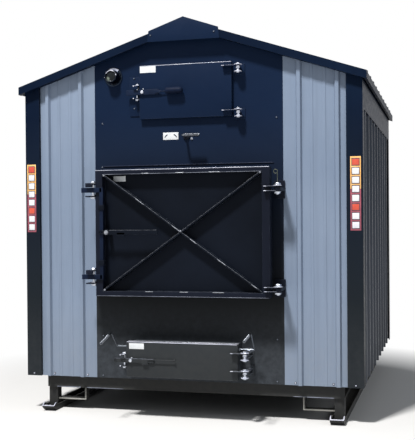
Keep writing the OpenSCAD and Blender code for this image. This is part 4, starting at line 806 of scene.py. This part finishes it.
# ---- Small hinges and catches ----
# Black welded brackets with plated lugs under each strap, and the catches: two ears with a plated bolt
# between them and a lip that the latch bar's tail slides behind. Strips along the catches' front edges are
# painted highlights.
brackets = bmesh.new()
for (place, straps), (x0, x1) in zip(SMALL_HINGES, ((307, 373), (370, 418))):
    for top in straps:
        block(brackets, (x0, x1), (-6, -0.3), (top - 55, top + 12), 1.5)
        for z in (top - 14.3, top - 38):
            knuckle = arc(place, 12, 180, 360, 10) + [(place[0] + 12, -6), (place[0] - 12, -6)]
            plate_from(brackets, knuckle, "z", z, z + 8, 1, paint=1)
fitted("small_hinge_brackets", brackets, [black_coat, zinc], "boiler", ["small_hinge_lugs"])
catches = bmesh.new()
for latch, back in ((CLEAN_LATCH, (-367, -300.5, 1872, 2118)), (ASH_LATCH, (-385, -354, 300, 420))):
    top, low, out = latch.z + latch.high / 2 + 20, latch.z - latch.high / 2 - 18, latch.face + 24
    block(catches, latch.lugs, (-out, -5), (top, top + 6), 1.5)
    block(catches, latch.lugs, (-out, -5), (low - 6, low), 1.5)
    block(catches, latch.lugs, (-out, -out + 5), (top - 18, top + 1), 1.2)
    block(catches, back[:2], (-6, -0.3), back[2:], 1.5)
    # Strips along the left ear's front edges and the top lip: painted highlights.
    left = (latch.lugs[0] - 0.3, latch.lugs[0] + 6)
    block(catches, left, (-out - 0.3, -out + 3), (top - 1, top + 6.2), 0.8, paint=1)
    block(catches, left, (-out - 0.3, -out + 3), (low - 6.2, low + 0.2), 0.8, paint=1)
    block(catches, (latch.lugs[0] + 6, latch.lugs[1]), (-out - 0.2, -out + 2), (top + 4.6, top + 6.2), 0.5,
          paint=1)
fitted("small_catch_brackets", catches, [black_coat, painted_highlight], "boiler", ["small_catches"])

# ---- Ash door ----
# A deeper pan near the ground. Strips on its folded top and on the door frame behind it are painted
# highlights, the two bright lines where they catch the light. The latch bar ends in a thin rod with a ball.
ash_coat = skin("ash_coat", (34, 38, 43), (43, 47, 51), rough=0.45, gloss=0.15, patch=1.4, foot_dust=0.3,
                dust_and_sheen=(74, 74, 70), rub=(150, 156, 168), rub_share=0.6, wave=0.004, top_dust_and_sheen=0.5)
ASH_HALF, ASH_LOW, ASH_HIGH = 349.5, 259, 476
ash = bmesh.new()
folded_pan(ash, ASH_HALF, ASH_LOW, ASH_HIGH, ASH_LATCH.face, 43)
# Two strips on the fold and on the frame behind it: painted highlights.
block(ash, (3.5 - ASH_HALF, ASH_HALF - 3.5), (-156, -150), (ASH_HIGH - 3.2, ASH_HIGH + 0.4), 0.8, paint=3)
block(ash, (0.5 - ASH_HALF, ASH_HALF - 0.5), (-118, -111.8), (ASH_HIGH - 1.2, ASH_HIGH + 0.8), 0.5, paint=3)
for top in ASH_STRAPS:
    door_strap(ash, 311, ASH_LATCH.face, ASH_PIN, top)
latch_post(ash, ASH_LATCH)
block(ash, (-332, -236), (-156.1, -154.9), (ASH_HIGH - 44, ASH_HIGH - 9), 0.4, paint=2)
fitted("ash_door_pan", ash, [ash_coat, zinc, plate_white, painted_highlight, painted_faint_highlight], "ash_door",
       ["ash_door"])
ash_latch = bmesh.new()
latch_bar(ash_latch, ASH_LATCH)
ROD_Z = ASH_LATCH.z + 8
block(ash_latch, (-245, -207), (-172, -167), (ROD_Z - 30, ROD_Z + 3), 1)
disc(ash_latch, 3, -225, -38, (0, -170, ROD_Z), "x", 16)
turned(ash_latch, [(0, -7), (3.6, -6), (6, -3.5), (7, 0), (6, 3.5), (3.6, 6), (0, 7)], (-38, -170, ROD_Z),
       "x", 24)
# A strip along the latch bar's top: painted highlight.
block(ash_latch, (-424, -172), (-167.8, -164), (ROD_Z + 3.2, ROD_Z + 4.8), 0.4, paint=1)
fitted("ash_latch_bar", ash_latch, [ash_coat, painted_faint_highlight, zinc], "ash_latch", ["ash_latch_lever"])

# ---- Draft shaft and cranks ----
# One bright rod crosses behind the ash door and turns the draft flap. Its ends are bent forward into
# cranks, and a spring of wound wire keeps the hand off the hot rod.


def bent_rod(shape, path, radius, bend):
    """A round rod bent through points, with rounded ends."""
    points = [Vector(path[0])]
    for before, corner, after in zip(path, path[1:], path[2:]):
        before, corner, after = Vector(before), Vector(corner), Vector(after)
        cut = min(bend, (corner - before).length * 0.45, (after - corner).length * 0.45)
        a, b = corner + (before - corner).normalized() * cut, corner + (after - corner).normalized() * cut
        points += [a.lerp(corner, t).lerp(corner.lerp(b, t), t) for t in (k / 8 for k in range(9))]
    points.append(Vector(path[-1]))
    tube_along(shape, points, radius, 18)


def wound_spring(shape, start, way, length, mean, wire=1.7, pitch=4.4):
    """A spring grip of round wire wound about a rod."""
    way = Vector(way).normalized()
    side = way.orthogonal().normalized()
    other = way.cross(side)
    turns = (length - 2 * wire) / pitch
    count = int(turns * 22)
    points = []
    for k in range(count + 1):
        a = math.tau * turns * k / count
        points.append(Vector(start) + way * (wire + (length - 2 * wire) * k / count) +
                      mean * (math.cos(a) * side + math.sin(a) * other))
    tube_along(shape, points, wire, 8)


bright_rod = skin("bright_rod", (84, 90, 98), (128, 133, 141), rough=0.32, metal=1.0, gloss=0.5, patch=30,
                  rub=(210, 210, 208), streak=0.3, grain=0.00006, ease=0.0006)
spring_wire = skin("spring_wire", (92, 96, 103), (138, 142, 150), rough=0.34, metal=1.0, gloss=0.5, patch=50,
                   rub=(226, 226, 222), grain=0.00004, ease=0.0004)
SHAFT = (0, -82, 438)
CRANK_X = 436
CRANKS = ((-CRANK_X, (-185, 533), (-362, 487)), (CRANK_X, (-170, 549), (-362, 522)))
shaft = bmesh.new()
turned(shaft, [(0, -437), (5, -437), (6, -435.5), (6, 435.5), (5, 437), (0, 437)], SHAFT, "x", 24)
for x, knee, tip in CRANKS:
    bent_rod(shaft, [(x, *SHAFT[1:]), (x, *knee), (x, *tip)], 5, 14)
    side = x / CRANK_X
    collar = ((6, 338.3), (10.4, 338.3), (11, 339), (11, 349), (10.4, 350), (6, 350))
    turned(shaft, [(radius, side * along) for radius, along in collar], SHAFT, "x", 28)
block(shaft, (-324, 324), (-85, -79), (282, 438), 1)
fitted("draft_shaft_rod", shaft, [bright_rod], "draft", ["draft_shaft"])
grips = bmesh.new()
for x, knee, tip in CRANKS:
    run = Vector((x, *tip)) - Vector((x, *knee))
    wound_spring(grips, Vector((x, *tip)) - run.normalized() * 134, run, 132, 7.2)
fitted("crank_springs", grips, [spring_wire], "draft", ["crank_grips"], crease=60)

# ---- Bypass damper ----
# A rod through the panel turns the flap over the fire. Its end is bent square for the handle, which
# has the same wound spring; a bushing and a stop nut stand on the panel.
DAMPER_Z, GRIP_Y = 1736, -90
damper = bmesh.new()
bent_rod(damper, [(0, 450, DAMPER_Z), (0, GRIP_Y, DAMPER_Z), (107, GRIP_Y, DAMPER_Z)], 7.6, 12)
block(damper, (-97, 97), (164, 436), (DAMPER_Z - 3, DAMPER_Z + 3), 1)
fitted("damper_rod_bent", damper, [bright_rod], "damper", ["damper_rod"])
damper_spring = bmesh.new()
wound_spring(damper_spring, (10, GRIP_Y, DAMPER_Z), (1, 0, 0), 96, 10.2)
fitted("damper_spring", damper_spring, [spring_wire], "damper", ["damper_grip"], crease=60)
bushing = bmesh.new()
turned(bushing, [(8.1, 59.7), (16, 59.7), (16, -0.3), (22, -0.3), (22, -6.5), (20.5, -8), (16, -8), (16, -13),
                 (15, -14), (8.1, -14), (8.1, 59.7)], (0, 0, DAMPER_Z), "y", 40)
hex_bolt(bushing, (34, -0.3, DAMPER_Z - 14), "y", 6, 6, sign=-1, paint=1)
fitted("damper_bushing_turned", bushing, [rim_coat, zinc], "boiler", ["damper_bushing"])

# ---- Lamp ----
# A yard lamp with a spun, chromed housing on a round foot; a fluted dark glass sits in its bezel, and
# a thumb screw stands out on the left.
LAMP = (-476, 2124)
# The chrome is given a dark tone, a painted reflection of dark surroundings, and its upward faces turn
# near-white as a painted highlight.
chrome = skin("lamp_chrome", (22, 30, 42), (48, 58, 72), rough=0.14, metal=1.0, gloss=0.5, patch=34,
              rub=(190, 198, 212), rub_share=0.5, grain=0.00003, ease=0.001, top_dust_and_sheen=2.6, top_dust_and_sheen_from=0.3,
              dust_and_sheen=(240, 244, 252))
lamp = bmesh.new()
turned(lamp, [(0, -0.3), (57, -0.3), (58.5, -1.5), (59, -4), (58.4, -6.5), (56.4, -8.3), (53, -9), (50, -8),
              (47, -7), (46, -12), (45, -20), (42.5, -30), (39, -40), (36, -46), (37.5, -49), (38, -53),
              (37, -57.5), (34.5, -60), (32.5, -57), (32, -35), (0, -35)], (LAMP[0], 0, LAMP[1]), "y", 64)
turned(lamp, [(0, -64), (4.5, -64), (5.5, -62.5), (5.5, -57), (3, -56), (3, -44), (0, -44)],
       (LAMP[0], -6.5, LAMP[1]), "x", 20)
for a in (40, 160, 280):
    turned(lamp, [(0, -12), (3.2, -12), (4.6, -10.5), (4.6, -8), (0, -8)],
           (LAMP[0] + 54 * math.cos(math.radians(a)), 0, LAMP[1] + 54 * math.sin(math.radians(a))), "y", 6)
# Faces on the upper arcs of the foot bead and the bezel, and a short arc on the bezel's right, take the light
# skin: painted highlights.
for face in lamp.faces:
    spot = face.calc_center_median()
    turn = math.degrees(math.atan2(spot.z - LAMP[1], spot.x - LAMP[0]))
    on_foot = -9.2 < spot.y < -3 and 50 < turn < 118
    on_bezel = -59.6 < spot.y < -47 and (58 < turn < 150 or 8 < turn < 20)
    if on_foot or on_bezel:
        face.material_index = 1
fitted("lamp_housing", lamp, [chrome, painted_highlight], "boiler", ["lamp_body"])
glass = bpy.data.materials.new("lamp_glass")
glass.use_nodes = True
tree = glass.node_tree
spot = shader(tree, "TexCoord").outputs["Object"]
surface = tree.nodes["Principled BSDF"]
flutes = shader(tree, "TexWave", {"Vector": spot, "Scale": 34, "Distortion": 0.4}, bands_direction="X")
tint = shader(tree, "ValToRGB", {"Fac": flutes.outputs["Fac"]})
tint.color_ramp.elements[0].color = tone(8, 11, 15)
tint.color_ramp.elements[1].color = tone(30, 36, 38)
# A grey-green patch on the lens's lower left is a painted reflection.
glint = shader(tree, "VectorMath", {0: spot, 1: (-0.496, -1.05, 2.107)},
               operation="DISTANCE").outputs["Value"]
glint = over(tree, span(tree, glint, 0.006, 0.017, 0.9, 0), tint.outputs["Color"], tone(128, 138, 126))
tree.links.new(glint, surface.inputs["Base Color"])
surface.inputs["Roughness"].default_value = 0.08
surface.inputs["Specular IOR Level"].default_value = 0.16
ribbed = shader(tree, "Bump", {"Height": flutes.outputs["Fac"], "Strength": 0.5, "Distance": 0.0006})
tree.links.new(ribbed.outputs["Normal"], surface.inputs["Normal"])
lens_glass = bmesh.new()
turned(lens_glass, [(0, -35.3), (31.7, -35.3), (31.7, -48), (28, -52), (22, -55), (12, -57.2), (0, -57.8)],
       (LAMP[0], 0, LAMP[1]), "y", 48)
fitted("lamp_glass_dome", lens_glass, [glass], "boiler", ["lamp_lens"])

# ---- Service side ----
# A folded door in the rear wall on two pin hinges, with a lift handle. Behind it are the blower with its
# fan wheel, the control box and the two threaded water pipes.
dress(charcoal_sheet, "rear_door")
dress(trim_coat, "rear_hinges")
dress(skin("motor_black", (34, 36, 39), (50, 52, 55), rough=0.5, patch=14, grain=0.0004, rub=(110, 110, 110)),
      "blower")
dress(zinc, "blower_wheel")
dress(skin("box_grey", (78, 82, 88), (92, 96, 101), rough=0.5, patch=10, rub=(140, 142, 146)),
      "controller_box")
dress(skin("port_brass", (150, 118, 64), (190, 156, 92), rough=0.3, metal=1.0, patch=40, streak=0.3,
           rub=(220, 196, 140)), "water_ports")

# ---- Panel screws ----
# Self-drilling screws with hexagon heads on rubber seals hold the panel, the siding, the posts and the
# plates. Washers on the panel are painted with it; heads on the siding and posts take the light skin, a
# painted highlight on their bare zinc.
rubber = skin("seal_rubber", (22, 22, 24), (34, 34, 36), rough=0.8, patch=60, grain=0.0003, rub=(60, 60, 60))
SIDING_FROM = 640
screws = bmesh.new()
PANEL_SCREWS = [(-554, 1834), (-557, 1558), (566, 1833), (-560, 488), (-563, 236), (562, 493), (560, 239),
                (-898, 236), (898, 236), (-670, 235), (670, 235)]
places = [(x, z, 0) for x, z in PANEL_SCREWS] + [(x, 236, 20) for x in (-1031.5, 1031.5)]
places += [(-209, 2360, 63.3), (195, 2360, 63.3), (-337, 1921, 6), (-337, 2108, 6)]
for x, z, face in places:
    # Heads on the siding and posts take the light skin: painted highlight on bare zinc.
    head = 3 if abs(x) > SIDING_FROM else 0
    disc(screws, 7, -face - 0.1, -face - 1.2, (x, 0, z), "y", 20, 1)
    turned(screws, [(0, -face - 1.1), (6.8, -face - 1.1), (6.6, -face - 1.8), (0, -face - 2.1)], (x, 0, z),
           "y", 20, paint=2)
    turned(screws, [(0, -face - 1.6), (4.4, -face - 1.6), (4.4, -face - 3.4), (3.7, -face - 4),
                    (0, -face - 4)], (x, 0, z), "y", 6, paint=head, start=random.uniform(0, 60))
screw_grey = skin("screw_grey", (84, 90, 102), (132, 138, 150), rough=0.4, metal=0.9, patch=80,
                  rub=(190, 194, 200))
fitted("panel_screw_heads", screws, [screw_grey, rubber, black_coat, painted_highlight], "boiler",
       ["panel_screws"])
